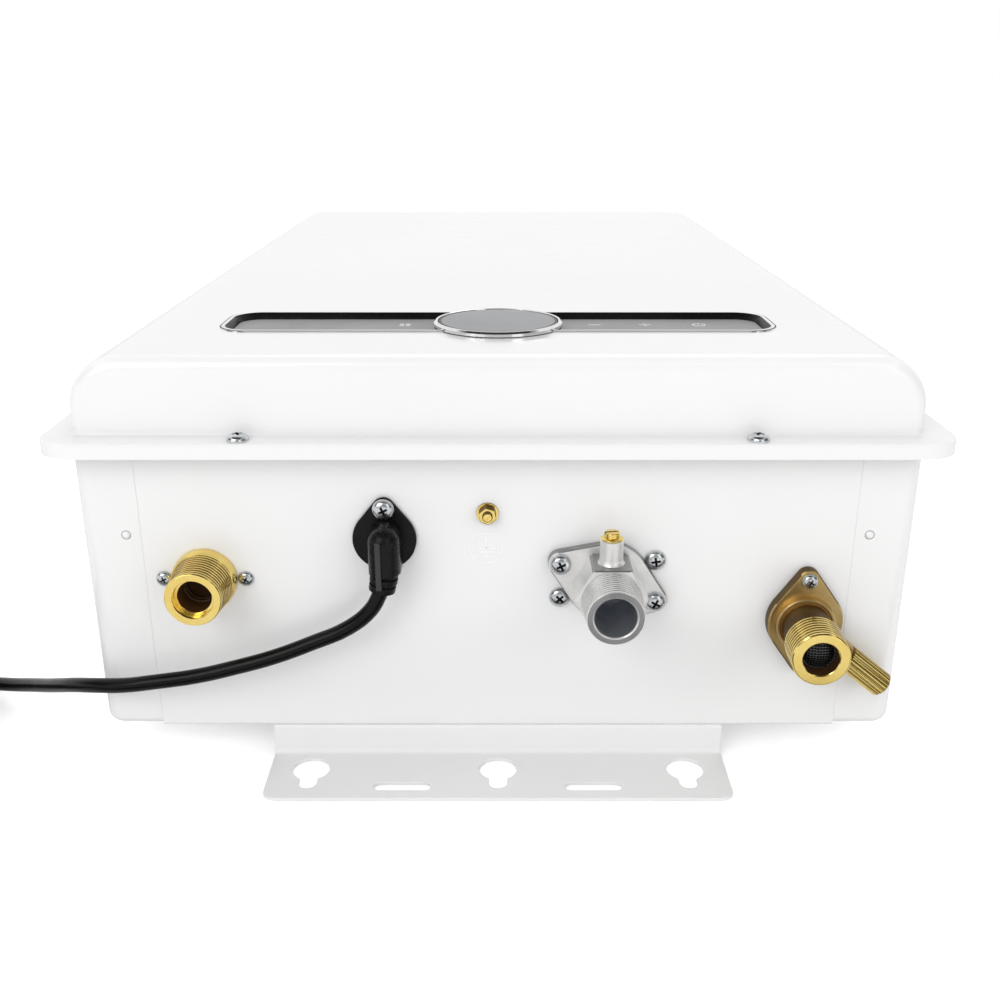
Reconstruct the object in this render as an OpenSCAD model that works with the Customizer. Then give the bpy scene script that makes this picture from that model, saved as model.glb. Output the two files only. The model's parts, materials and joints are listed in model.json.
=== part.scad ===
// Tankless gas water heater, lying on its back as it comes out of its box.
// The wall plane is z = 0, the front cover faces +Z, the connections face -Y and the flue faces +Y.

/* [Case] */
// Width of the rear case over its side walls
case_w = 319; // [302:1:342]
// Length of the rear case over its end panels
case_l = 515; // [500:1:560]
// Depth of the rear case from its back to the top of its rim
case_d = 121; // [118:1:130]
// Thickness of the case and cover sheet
sheet_t = 1; // [0.8:0.1:1.2]
// Plan radius of the case's upright corners
corner_r = 8; // [6:0.5:12]
// Radius of the bend between the back and the side walls
back_r = 4.5; // [3:0.5:6]
// Width of the side walls' strips folded onto the ends
fold_w = 23; // [20.5:0.5:24.5]
// Gap between a folded strip and the end panel
seam_gap = 0.3; // [0.2:0.1:0.6]
// Width of the outward rim that carries the cover
rim_w = 9; // [7.5:0.5:10]
// Diameter of the rivets that join strips and panels
rivet_d = 3.6; // [3:0.2:5]
// Height of those rivets above the back of the case
rivet_up = 84.6; // [70:0.2:95]
// Distance of those rivets from the side of the case
rivet_in = 17.5; // [16:0.5:18]
// Number of air slots in each side wall
air_slots = 11; // [6:1:14]

/* [Front cover] */
// Height of the cover above its flange
cover_h = 29.9; // [25:0.1:36]
// Radius along the cover's long sides
cover_side_r = 21; // [16:0.5:24]
// Radius along the cover's two ends
cover_end_r = 5.5; // [4.5:0.5:9]
// Plan radius of the cover's corners
cover_plan_r = 5.5; // [5:0.5:14]
// Width of the flange around the cover
flange_w = 11.5; // [11.5:0.5:15]
// Plan radius of the flange's corners
flange_r = 15; // [12:0.5:20]
// Height of the turned-down lip, from the top of the flange
lip_h = 5.8; // [4:0.2:8]
// Thickness of the seal under the flange
seal_t = 2; // [1.5:0.1:3]
// Distance of the cover screws from the middle
cover_screw_x = 95.5; // [60:0.5:130]

/* [Control strip] */
// Length of the strip over its trim
strip_l = 227; // [200:1:250]
// Width of the strip over its trim
strip_w = 41.5; // [36:0.5:44]
// Plan radius of the strip's corners
strip_r = 12.5; // [8:0.5:14]
// Distance of the strip's middle from the lower end of the case
strip_in = 63.5; // [55:0.5:100]
// Width of the bright trim
trim_w = 3; // [2.5:0.1:4]
// Height of the trim above the cover's face
trim_h = 0.6; // [0.4:0.1:2]
// Depth of the fascia below the cover's face
recess = 2.2; // [1.5:0.1:3]
// Thickness of the fascia
fascia_t = 2; // [1.5:0.1:3]
// Distance of the display ring's middle below the strip's middle
ring_off = 6.5; // [0:0.5:7]
// Outer diameter of the display ring
ring_d = 52.5; // [50:0.5:64]
// Width of the display ring's band
ring_band = 2.1; // [1.6:0.1:3.5]
// Height of the display ring above the cover's face
ring_h = 2.2; // [1.5:0.1:3]
// Depth of the housing behind the strip
housing_d = 13; // [11:0.5:16]

/* [Wall brackets] */
// Distance of the case from the wall
standoff = 14; // [12:0.5:20]
// Width of a bracket
bracket_w = 184; // [175:1:240]
// Thickness of the bracket plate
bracket_t = 1.2; // [1:0.1:2]
// How far the wall plate reaches past the end of the case
plate_reach = 32; // [29:0.5:35]
// How far the fixing flange reaches under the case
foot_reach = 26; // [20:0.5:40]
// Corner radius of the wall plate
plate_r = 5; // [2:0.5:8]
// Diameter of the keyholes' round end
keyhole_d = 15; // [12:0.5:18]
// Width of the keyholes' narrow end
keyhole_slot = 7.2; // [6:0.2:9]
// Distance between neighbouring keyholes
keyhole_pitch = 75.5; // [65:0.5:78]
// Distance of the keyholes' round end from the end of the case
keyhole_in = 12; // [10:0.5:16]
// Distance from a keyhole's round end to its narrow end
keyhole_throw = 9.5; // [8:0.5:12]
// Length of the straight slots
slot_l = 22.5; // [16:0.5:26]
// Width of the straight slots
slot_w = 5; // [4.5:0.1:6]
// Distance of the straight slots from the end of the case
slot_in = 24; // [20:0.5:28]

/* [Water connections] */
// Outer diameter of the half-inch pipe threads
thread_d = 21.3; // [20.9:0.1:22]
// Hot outlet, distance from the left side of the case
hot_in = 45.5; // [42:0.5:60]
// Hot outlet, height above the back of the case
hot_up = 66; // [50:0.5:76]
// Hot outlet, reach past the end panel
hot_reach = 20; // [18:0.5:34]
// Diameter of the hot outlet's collar
hot_collar_d = 25.2; // [24:0.1:28]
// Distance of the hot outlet's screws from its axis
hot_screw_x = 16.3; // [16:0.1:19]
// Cold inlet, distance from the right side of the case
cold_in = 39.5; // [36:0.5:50]
// Cold inlet, height above the back of the case
cold_up = 49; // [42:0.5:60]
// Cold inlet, reach past the end panel
cold_reach = 35; // [30:0.5:40]
// Distance of the cold inlet's screws from its axis
cold_screw_y = 18; // [17:0.1:21]
// Bore of the water connections
water_bore = 13; // [11:0.1:14]
// Thickness of the cold inlet's flange
cold_flange_t = 5; // [4:0.1:7]
// Angle of the drain below the horizontal
drain_angle = 39; // [25:1:50]
// Diameter of the drain knob
drain_d = 10.4; // [9:0.1:11.4]
// Distance of the drain knob's end from the inlet's axis
drain_reach = 42; // [36:0.5:46]
// Diameter of the drain's stem
drain_stem_d = 6; // [5:0.1:6.6]

/* [Gas connection] */
// Gas inlet, distance from the middle
gas_x = 42.5; // [40:0.5:60]
// Gas inlet, height above the back of the case
gas_up = 66; // [60:0.5:70]
// Gas inlet, reach past the end panel
gas_reach = 35.6; // [32:0.2:42]
// Gas inlet, thickness of the flange
gas_flange_t = 4.4; // [3.5:0.1:6]
// Gas inlet screws, distance from the axis across
gas_screw_x = 18.4; // [17.8:0.1:21]
// Gas inlet screws, distance from the axis up
gas_screw_y = 7.9; // [6:0.1:9]
// Gas inlet, width across the flats of its hexagon
gas_hex = 24.4; // [23:0.1:26]
// Gas inlet, bore
gas_bore = 15.6; // [13:0.1:16.5]
// Test port, diameter of its boss
port_d = 8.8; // [8:0.1:10]
// Test port, height of its boss above the hexagon
port_h = 9.4; // [6:0.1:11]
// Test port, diameter of its screw's stem
port_screw_d = 4; // [3.5:0.1:5]

/* [Electric connection] */
// Cord gland, distance from the middle
gland_x = -43; // [-60:0.5:-40]
// Cord gland, height above the back of the case
gland_up = 83; // [76:0.5:88]
// Radius of the gland's plate
gland_r = 12.3; // [11.5:0.1:15]
// Height of the gland's screw above its middle
gland_ear = 12.6; // [12.5:0.1:16]
// Thickness of the gland's plate
gland_t = 2.5; // [2:0.1:3.5]
// Width of the elbow
elbow_w = 12.6; // [11:0.1:14]
// Distance of the elbow's axis from the end panel
elbow_out = 11.4; // [10:0.1:13]
// Length of the elbow's body below the gland's middle
elbow_drop = 8.2; // [7.5:0.1:11]
// Earth terminal, distance from the middle
earth_x = -4; // [-10:0.5:4]
// Earth terminal, height above the back of the case
earth_up = 94; // [88:0.5:96]
// Diameter of the mains cord
cord_d = 6; // [5.4:0.1:6.2]

/* [Flue] */
// Outer diameter of the flue collar
flue_d = 60; // [50:1:80]
// Reach of the flue collar past the top panel
flue_reach = 35.6; // [25:0.2:45]
// Height of the flue's axis above the back of the case
flue_up = 61; // [54:1:66]

/* [Inside] */
// Width of the heat exchanger
hx_w = 196; // [180:1:205]
// Length of the heat exchanger
hx_l = 125; // [115:1:135]
// Depth of the heat exchanger
hx_d = 96; // [92:1:100]
// Distance of the heat exchanger from the back of the case
hx_up = 12; // [10:0.5:13]
// Number of heat exchanger fins
fin_count = 25; // [15:2:31]
// Diameter of the water pipes
pipe_d = 15; // [13:0.5:16]
// Number of burner bars
bar_count = 9; // [5:2:11]
// Length of the burner box
burner_l = 60; // [54:1:66]
// Diameter of the blower wheel
wheel_d = 100; // [90:1:104]
// Height of the blower wheel
wheel_h = 45; // [36:1:48]
// Number of blower blades
blade_count = 28; // [20:1:32]
// Diameter of the blower shaft
shaft_d = 6; // [5:0.1:7]
// Diameter of the gas valve's plunger
plunger_d = 10; // [8:0.1:10.8]
// Diameter of the flow turbine
turbine_d = 15; // [12:0.1:15.4]

/* [Hidden] */
$fn = 64;

// Clearances
run_gap = 0.1;      // radial, between pieces that turn or slide in each other
hole_gap = 0.3;     // radial, between a fitting and its hole
seat_gap = 0.1;     // between the seal and the rim
part_gap = 0.5;     // between pieces that must stay clear
over = 1;           // how far a cut runs past a face
tangent_in = 0.02;  // how far inside an arc a straight flank meets it

// Levels and ends
y_low = -case_l / 2;
y_top = case_l / 2;
z_in = standoff + sheet_t;
z_rim = standoff + case_d;
z_flange = z_rim + seat_gap + seal_t;
z_lip = z_flange + sheet_t - lip_h;
z_face = z_flange + sheet_t + cover_h;
z_fascia = z_face - recess;
panel_x = case_w / 2 - fold_w - seam_gap;
y_strip = y_low + strip_in;
hot_x = hot_in - case_w / 2;
cold_x = case_w / 2 - cold_in;
z_hot = standoff + hot_up;
z_cold = standoff + cold_up;
z_gas = standoff + gas_up;
z_gland = standoff + gland_up;
z_earth = standoff + earth_up;
z_flue = standoff + flue_up;

// Screws, head diameter, head height and shank diameter
m4_head = 8;
m4_head_h = 2.6;
m4_d = 4;
m3_head = 6.2;
m3_head_h = 2;
m3_d = 3;
screw_l = 12;
cover_screw_l = 6;

// Rivets of the end panels and of the brackets
rivet_x = case_w / 2 - rivet_in;
rivet_shank = rivet_d - 1;
rivet_head_h = 0.8;
bracket_rivet_d = 4;
bracket_rivet_head = 7;
bracket_rivet_head_h = 1.6;
bracket_rivet_n = 4;
bracket_rivet_in = 15.6;
bracket_rivet_edge = 12;

// Fittings
end_fold_r = 1.5;
hot_collar_h = 5;
hot_groove_w = 1.5;
hot_plate_r = 14;
hot_lobe_r = 4.6;
inner_plate_t = 4;
mouth_step = 1.2;
mouth_l = 3;
hot_stub_d = 18;
stub_l = 14;
spigot_d = 20;
spigot_l = 4;
cold_boss_d = 23;
cold_boss_h = 8;
cold_neck_d = 18.8;
cold_thread_l = 13;
cold_flange_r = 14.8;
lobe_r = 4.4;
cold_screw_head = 6.4;
drain_out = 7.4;
drain_boss_d = 10.6;
drain_boss_l = 20;
drain_stem_in = 9.5;
drain_seal_t = 1.5;
drain_slack = 0.05;
strainer_in = 5;
strainer_l = 12;
strainer_wall = 0.8;
gas_flange_r = 15.2;
gas_lobe_r = 5.2;
gas_hex_end = 20.7;
port_out = 12.5;
port_screw_head = 5.8;
port_screw_up = 3;
port_screw_l = 10;
slot_cut = 1;
earth_washer_d = 9;
earth_washer_t = 0.8;
earth_nut = 7;
earth_nut_h = 3;
earth_stud = 5.6;
gland_ear_r = 4.4;
gland_spigot_l = 6;
dome_up = 2;
relief_lean = 22;
relief_l = 6.8;
relief_d = 10.8;
relief_core = 8.4;
rib_w = 2.5;
relief_foot = 1.8;
flue_base_w = 12;
flue_base_t = 1.5;
neck_past = 10;
flue_wall = 1;
trim_lap = 1.2;
ring_lap = 1;
fascia_lap = 3;
housing_edge = 2.5;
housing_floor = 2;
board_t = 1.6;
board_up = 3;
lens_drop = 0.4;
lens_edge = 0.5;
seal_in = 1;
z_housing = z_face - sheet_t - housing_d;

// Inside layout
y_burner = -20;
y_hx = y_burner + burner_l;
y_hood = y_hx + hx_l;
z_hx = standoff + hx_up;
hx_wall = 1.2;
burner_w = hx_w;
tube_back = 28;
tube_y = y_hx + hx_l - tube_back;
tube_pitch = 30;
tube_z = z_hx + hx_d / 2;
tube_out = 12;
blower_x = -28;
blower_back = 75;
blower_y = y_burner - blower_back;
motor_d = 60;
motor_h = 36;
housing_wall = 1.5;
wheel_gap = 5;
z_blower = z_in + motor_h;
scroll_room = 13;
blower_r = wheel_d / 2 + scroll_room;
blower_h = wheel_h + 2 * wheel_gap + 2 * housing_wall;
valve_w = 40;
valve_l = 60;
valve_plate_t = 5;
coil_up = 32;
coil_d = 28;
sensor_l = 56;
sensor_d = 28;
manifold_d = 14;
z_burner_front = z_hx + hx_d;
tube_d = 13;
tube_wall = 1;
fin_t = 0.8;
fin_l = 46;
fin_edge = 8;
hood_l = 30;
neck_d = flue_d - 2 * (flue_wall + part_gap + hole_gap);
bar_w = 12;
bar_in = 6;
bar_front = 12;
bar_wall = 1;
manifold_w = 20;
manifold_in = 2;
manifold_edge = 6;
injector_d = 6;
injector_l = 9;
electrode_x = 30;
electrode_d = 8;
electrode_in = 14;
electrode_l = 30;
electrode_wire = 2;
valve_bore = 10;
chamber_d = 14;
chamber_up = 7;
seat_port_d = 8;
plunger_head_d = 13;
plunger_head_t = 3;
plunger_room = 5;
coil_cap = 3;
valve_mid = sheet_t + valve_plate_t + valve_l / 2;
gas_pipe_d = 12;
gas_pipe_out = 27;
gas_pipe_x = blower_x + blower_r + gas_pipe_out;
sensor_plate_t = 5;
turbine_room = 0.6;
sensor_bore = turbine_d + 2 * turbine_room;
sensor_out = 11;
spider_t = 3;
spider_hub = 6;
spider_top = 9;
turbine_l = 12;
turbine_pin = 2;
turbine_slack = 0.3;
y_sensor = y_low + sheet_t + sensor_plate_t + sensor_l;
box_x = -43;
box_w = 110;
box_l = 66;
box_h = 34;
box_in = 24;
box_wall = 2;
mount_w = 20;
mount_l = 16;

// Mains cord, points chosen by hand: across, out from the end panel (negative is in front), height
cord_route = [
  [-45.5, -11.4, 82.5], [-47, -11.4, 78.8], [-50.5, -11.4, 72], [-59, -11.2, 64.2], [-72.5, -11, 57.5],
  [-87, -11, 51.5], [-102, -11, 47], [-118, -11, 43], [-134, -11, 40.5], [-148, -9.5, 38],
  [-160, -6, 36], [-171, 0.5, 32.5], [-181, 9, 27.5], [-191, 18.5, 22], [-202, 28.5, 16.5],
  [-214, 37.5, 11.5], [-228, 45.5, 7.5], [-242, 50.5, 5], [-252, 52, 4.2], [-258, 52, 4.2]
];
cord_sides = 10;
coil_x = -264;      // middle of the coil
coil_y = 8;         // middle of the coil, from the end panel
coil_start_r = 44;
coil_step = 6.7;    // turn to turn, and layer to layer
coil_turns = 5.25;
loop_rings = 24;
loop_sides = 6;
coil_z = 4.2;
coil_start = 90;
lead_in = 6;
lead_out = 40;
lead_rings = 4;
tie_w = 12;
tie_t = 1;
tie_gap = 0.3;
plug_w = 27;
plug_l = 24;
plug_neck_l = 16;
plug_neck_d = 13;
blade_gap = 12.7;
blade_w = 6.3;
blade_t = 1.5;
blade_l = 17;
blade_up = 4;
earth_pin_d = 4.8;
earth_pin_drop = 11.9;
earth_pin_l = 20;

// Rounded rectangle in the plane, centred
module plate_shape(w, l, r) {
  square([w - 2 * r, l], center = true);
  square([w, l - 2 * r], center = true);
  for (sx = [-1, 1], sy = [-1, 1])
    translate([sx * (w / 2 - r), sy * (l / 2 - r)])
      circle(r);
}

module slab(w, l, h, r) {
  linear_extrude(h)
    plate_shape(w, l, r);
}

// Upright section with its two top corners rounded
module crown_shape(w, h, r) {
  translate([-w / 2, 0])
    square([w, h - r]);
  translate([-w / 2 + r, 0])
    square([w - 2 * r, h]);
  for (sx = [-1, 1])
    translate([sx * (w / 2 - r), h - r])
      circle(r);
}

// Drawn pan with its closed side up: rounded along its sides, along its ends and in plan
module pan(w, l, h, side_r, end_r, plan_r) {
  intersection() {
    translate([0, l / 2, 0])
      rotate([90, 0, 0])
        linear_extrude(l)
          crown_shape(w, h, side_r);
    translate([-w / 2, 0, 0])
      rotate([90, 0, 90])
        linear_extrude(w)
          crown_shape(l, h, end_r);
    slab(w, l, h, plan_r);
  }
}

// Plate shape with a round middle and a lobe on each side, joined by tangents
module lobe_shape(mid_r, lobe_r, reach) {
  a = acos((mid_r - lobe_r) / reach);
  circle(mid_r);
  for (s = [-1, 1])
    translate([s * reach, 0])
      circle(lobe_r);
  polygon([
    for (q = [[1, 1], [-1, 1], [-1, -1], [1, -1]])
      each let (
        mid = (mid_r - tangent_in) * [q[0] * cos(a), q[1] * sin(a)],
        lobe = [q[0] * reach, 0] + (lobe_r - tangent_in) * [q[0] * cos(a), q[1] * sin(a)]
      ) q[0] * q[1] > 0 ? [lobe, mid] : [mid, lobe]
  ]);
}

// Plate shape with a round middle and one ear above it
module ear_shape(mid_r, ear_r, reach) {
  a = acos((mid_r - ear_r) / reach);
  circle(mid_r);
  translate([0, reach])
    circle(ear_r);
  polygon([
    (mid_r - tangent_in) * [sin(a), cos(a)],
    [0, reach] + (ear_r - tangent_in) * [sin(a), cos(a)],
    [0, reach] + (ear_r - tangent_in) * [-sin(a), cos(a)],
    (mid_r - tangent_in) * [-sin(a), cos(a)]
  ]);
}

module tube(d, bore, h) {
  difference() {
    cylinder(d = d, h = h);
    translate([0, 0, -over])
      cylinder(d = bore, h = h + 2 * over);
  }
}

// Flat-bottomed dome
module dome(d, h) {
  r = (h * h + d * d / 4) / (2 * h);
  rotate_extrude()
    intersection() {
      translate([0, h - r])
        circle(r);
      square([d / 2, h]);
    }
}

// Round-headed fastener without a recess, head upwards, seated at z = 0
module rivet(head_d, head_h, shank_d, shank_l) {
  dome(head_d, head_h);
  translate([0, 0, -shank_l])
    cylinder(d = shank_d, h = shank_l);
}

// Pan-head screw with a cross recess, head upwards, seated at z = 0
module screw(head_d, head_h, shank_d, shank_l) {
  recess_w = head_d / 7;
  recess_l = head_d * 0.55;
  recess_d = head_h * 0.5;
  difference() {
    rivet(head_d, head_h, shank_d, shank_l);
    for (turn = [0, 90])
      rotate(turn)
        translate([-recess_l / 2, -recess_w / 2, head_h - recess_d])
          cube([recess_l, recess_w, head_h]);
  }
}

// Puts a piece on the lower end: x across, y up, z outwards
module on_end(x, z) {
  translate([x, y_low, z])
    rotate([90, 0, 0])
      children();
}

// Sweep of a round tube along points, as one closed skin
function unit(v) = v / norm(v);
function along(path, i) = unit(path[min(i + 1, len(path) - 1)] - path[max(i - 1, 0)]);
function ring(path, i, r, sides, up) =
  let (t = along(path, i), a = unit(cross(t, up)), b = cross(t, a))
    [for (j = [0:sides - 1]) path[i] + r * (cos(360 * j / sides) * a + sin(360 * j / sides) * b)];

module swept(path, r, sides, up) {
  n = len(path);
  points = [for (i = [0:n - 1]) each ring(path, i, r, sides, up)];
  walls = [
    for (i = [0:n - 2], j = [0:sides - 1])
      let (k = (j + 1) % sides, p = i * sides, q = p + sides)
        each [[p + j, q + k, p + k], [p + j, q + j, q + k]]
  ];
  first = [for (j = [1:sides - 2]) [0, j, j + 1]];
  last = [for (j = [1:sides - 2]) let (p = (n - 1) * sides) [p, p + j + 1, p + j]];
  polyhedron(points = points, faces = concat(walls, first, last));
}

// Case

module case_solid(inset) {
  translate([0, 0, z_rim + (inset > 0 ? over : 0)])
    mirror([0, 0, 1])
      pan(case_w - 2 * inset, case_l - 2 * inset, case_d - inset + (inset > 0 ? over : 0),
          back_r - inset, end_fold_r - inset / 2, corner_r - inset);
}

module at_cover_screws() {
  for (sx = [-1, 1], sy = [-1, 1])
    translate([sx * cover_screw_x, sy * (case_l / 2 + flange_w / 2), 0])
      children();
}

module rim_ring() {
  translate([0, 0, z_rim - sheet_t])
    difference() {
      slab(case_w + 2 * rim_w, case_l + 2 * rim_w, sheet_t, corner_r + rim_w);
      translate([0, 0, -over])
        slab(case_w - sheet_t, case_l - sheet_t, sheet_t + 2 * over, corner_r - sheet_t / 2);
      at_cover_screws()
        cylinder(d = m4_d + 2 * hole_gap, h = 4 * sheet_t, center = true);
    }
}

module end_windows(half_w) {
  for (s = [-1, 1])
    translate([-half_w, s * case_l / 2 - fold_w / 2, z_in])
      cube([2 * half_w, fold_w, case_d + over]);
}

module rear_case() {
  slot_pitch = 9;
  slot_gap = 3.6;
  slot_run = 56;
  color("white")
    difference() {
      union() {
        case_solid(0);
        rim_ring();
      }
      case_solid(sheet_t);
      end_windows(panel_x + seam_gap);
      for (s = [-1, 1], i = [0:air_slots - 1])
        translate([s * case_w / 2, blower_y + (i - (air_slots - 1) / 2) * slot_pitch, z_in + case_d / 2])
          cube([4 * sheet_t, slot_gap, slot_run], center = true);
      for (s = [-1, 1], e = [-1, 1])
        translate([s * rivet_x, e * case_l / 2, standoff + rivet_up])
          rotate([90, 0, 0])
            cylinder(d = rivet_shank + 2 * run_gap, h = 4 * sheet_t, center = true);
      bracket_holes();
    }
}

// End panel on the lower end: flush plate, tabs behind the strips, foot on the back and rim
module end_panel() {
  tab_w = fold_w - corner_r;
  tab_h = 24;
  foot_w = 11;
  difference() {
    union() {
      translate([-panel_x, y_low, z_in + run_gap])
        cube([2 * panel_x, sheet_t, case_d - sheet_t - run_gap]);
      translate([-panel_x, y_low, z_in + run_gap])
        cube([2 * panel_x, foot_w, sheet_t]);
      translate([-panel_x, y_low - rim_w, z_rim - sheet_t])
        cube([2 * panel_x, rim_w + sheet_t, sheet_t]);
      for (s = [0, 1])
        mirror([s, 0, 0])
          translate([panel_x - sheet_t, y_low + sheet_t / 2, standoff + rivet_up - tab_h / 2])
            difference() {
              cube([sheet_t + tab_w, sheet_t * 1.5, tab_h]);
              translate([sheet_t, -over, -over])
                cube([tab_w + over, over + sheet_t / 2 + run_gap, tab_h + 2 * over]);
            }
    }
    for (s = [-1, 1])
      through_panel(s * rivet_x, standoff + rivet_up, rivet_shank + 2 * run_gap);
    translate([0, 0, z_rim])
      at_cover_screws()
        cylinder(d = m4_d + 2 * hole_gap, h = 4 * sheet_t, center = true);
  }
}

module through_panel(x, z, d) {
  on_end(x, z)
    cylinder(d = d, h = 8 * sheet_t, center = true);
}

module bottom_panel() {
  color("white")
    difference() {
      end_panel();
      through_panel(hot_x, z_hot, hot_stub_d + 2 * hole_gap);
      through_panel(cold_x, z_cold, spigot_d + 2 * hole_gap);
      through_panel(gas_x, z_gas, spigot_d + 2 * hole_gap);
      through_panel(gland_x, z_gland, elbow_w);
      through_panel(gland_x, z_gland + gland_ear, m4_d + 2 * run_gap);
      through_panel(earth_x, z_earth, m4_d + 2 * run_gap);
      for (s = [-1, 1]) {
        through_panel(hot_x + s * hot_screw_x, z_hot, m3_d + 2 * run_gap);
        through_panel(cold_x, z_cold + s * cold_screw_y, m4_d + 2 * run_gap);
        for (t = [-1, 1])
          through_panel(gas_x + s * gas_screw_x, z_gas + t * gas_screw_y, m4_d + 2 * run_gap);
      }
    }
}

module top_panel() {
  color("white")
    difference() {
      mirror([0, 1, 0])
        end_panel();
      translate([0, y_top, z_flue])
        rotate([90, 0, 0])
          cylinder(d = flue_d - 2 * flue_wall - 2 * part_gap, h = 8 * sheet_t, center = true);
    }
}

module panel_rivets() {
  color("gainsboro")
    for (s = [-1, 1], e = [0, 1])
      mirror([0, e, 0])
        on_end(s * rivet_x, standoff + rivet_up)
          rivet(rivet_d, rivet_head_h, rivet_shank, 2 * sheet_t);
}

// Wall brackets

module at_bracket_rivets() {
  pitch = (bracket_w - 2 * bracket_rivet_edge) / (bracket_rivet_n - 1);
  for (e = [0, 1], i = [0:bracket_rivet_n - 1])
    mirror([0, e, 0])
      translate([(i - (bracket_rivet_n - 1) / 2) * pitch, y_low + bracket_rivet_in, standoff])
        children();
}

module bracket_holes() {
  at_bracket_rivets()
    cylinder(d = bracket_rivet_d + 2 * run_gap, h = 4 * sheet_t, center = true);
}

module keyhole() {
  cylinder(d = keyhole_d, h = 4 * bracket_t, center = true);
  translate([-keyhole_slot / 2, -keyhole_throw, -2 * bracket_t])
    cube([keyhole_slot, keyhole_throw, 4 * bracket_t]);
  translate([0, -keyhole_throw, 0])
    cylinder(d = keyhole_slot, h = 4 * bracket_t, center = true);
}

module straight_slot() {
  for (s = [-1, 1])
    translate([s * (slot_l - slot_w) / 2, 0, 0])
      cylinder(d = slot_w, h = 4 * bracket_t, center = true);
  cube([slot_l - slot_w, slot_w, 4 * bracket_t], center = true);
}

module bracket() {
  difference() {
    union() {
      intersection() {
        translate([-bracket_w / 2, y_low - plate_reach, 0])
          cube([bracket_w, plate_reach + bracket_t, bracket_t]);
        translate([0, y_low, 0])
          slab(bracket_w, 2 * plate_reach, bracket_t, plate_r);
      }
      translate([-bracket_w / 2, y_low, 0])
        cube([bracket_w, bracket_t, standoff]);
      translate([-bracket_w / 2, y_low, standoff - bracket_t])
        cube([bracket_w, foot_reach, bracket_t]);
    }
    for (i = [-1:1])
      translate([i * keyhole_pitch, y_low - keyhole_in, bracket_t / 2])
        keyhole();
    for (s = [-1, 1])
      translate([s * keyhole_pitch / 2, y_low - slot_in, bracket_t / 2])
        straight_slot();
    bracket_holes();
  }
}

module lower_bracket() {
  color("whitesmoke")
    bracket();
}

module upper_bracket() {
  color("whitesmoke")
    mirror([0, 1, 0])
      bracket();
}

module bracket_rivets() {
  color("silver")
    at_bracket_rivets() {
      translate([0, 0, sheet_t])
        rivet(bracket_rivet_head, bracket_rivet_head_h, bracket_rivet_d, sheet_t + bracket_t);
      translate([0, 0, -bracket_t])
        rotate([180, 0, 0])
          dome(bracket_rivet_head, bracket_rivet_head_h);
    }
}

// Front cover

// Outline of the control strip with its display ring, widened all round
module control_shape(grow) {
  plate_shape(strip_l + 2 * grow, strip_w + 2 * grow, strip_r + grow);
  translate([0, -ring_off])
    circle(d = ring_d + 2 * grow);
}

module on_strip(z) {
  translate([0, y_strip, z])
    children();
}

module on_ring(z) {
  translate([0, y_strip - ring_off, z])
    children();
}

module front_cover() {
  outer_w = case_w + 2 * flange_w;
  outer_l = case_l + 2 * flange_w;
  color("white")
    difference() {
      union() {
        translate([0, 0, z_flange])
          pan(case_w, case_l, cover_h + sheet_t, cover_side_r, cover_end_r, cover_plan_r);
        translate([0, 0, z_lip])
          slab(outer_w, outer_l, lip_h, flange_r);
      }
      translate([0, 0, z_lip - over])
        slab(outer_w - 2 * sheet_t, outer_l - 2 * sheet_t, lip_h - sheet_t + over, flange_r - sheet_t);
      translate([0, 0, z_flange - over])
        pan(case_w - 2 * sheet_t, case_l - 2 * sheet_t, cover_h + over,
            cover_side_r - sheet_t, cover_end_r - sheet_t, cover_plan_r - sheet_t);
      on_strip(z_face - 2 * sheet_t)
        linear_extrude(3 * sheet_t) {
          plate_shape(strip_l - 2 * trim_lap, strip_w - 2 * trim_lap, strip_r - trim_lap);
          translate([0, -ring_off])
            circle(d = ring_d - 2 * ring_lap);
        }
      translate([0, 0, z_flange])
        at_cover_screws()
          cylinder(d = m4_d + 2 * hole_gap, h = 4 * sheet_t, center = true);
    }
}

module cover_seal() {
  seal_out = rim_w - seal_in;
  color("dimgray")
    translate([0, 0, z_rim + seat_gap])
      difference() {
        slab(case_w + 2 * seal_out, case_l + 2 * seal_out, seal_t, corner_r + seal_out);
        translate([0, 0, -over])
          slab(case_w + 2 * seal_in, case_l + 2 * seal_in, seal_t + 2 * over, corner_r + seal_in);
        at_cover_screws()
          cylinder(d = m4_d + 2 * hole_gap, h = 4 * seal_t, center = true);
      }
}

module cover_screws() {
  color("silver")
    translate([0, 0, z_flange + sheet_t])
      at_cover_screws()
        screw(m4_head, m4_head_h, m4_d, cover_screw_l);
}

// Control strip

module control_trim() {
  wall_in = trim_lap + run_gap;
  color("silver")
    difference() {
      union() {
        on_strip(z_face)
          slab(strip_l, strip_w, trim_h, strip_r);
        on_strip(z_fascia)
          slab(strip_l - 2 * wall_in, strip_w - 2 * wall_in, recess + trim_h, strip_r - wall_in);
      }
      on_strip(z_fascia - over)
        slab(strip_l - 2 * trim_w, strip_w - 2 * trim_w, recess + trim_h + 2 * over, strip_r - trim_w);
      on_ring(z_fascia - over)
        cylinder(d = ring_d + 2 * run_gap, h = recess + trim_h + 2 * over);
    }
}

module control_fascia() {
  color([0.13, 0.13, 0.14])
    on_strip(z_fascia - fascia_t)
      linear_extrude(fascia_t)
        control_shape(fascia_lap);
}

module display_ring() {
  color("silver")
    difference() {
      union() {
        on_ring(z_face)
          cylinder(d = ring_d, h = ring_h);
        on_ring(z_fascia)
          cylinder(d = ring_d - 2 * (ring_lap + run_gap), h = recess + ring_h);
      }
      on_ring(z_fascia - over)
        cylinder(d = ring_d - 2 * ring_band, h = recess + ring_h + 2 * over);
    }
}

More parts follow.
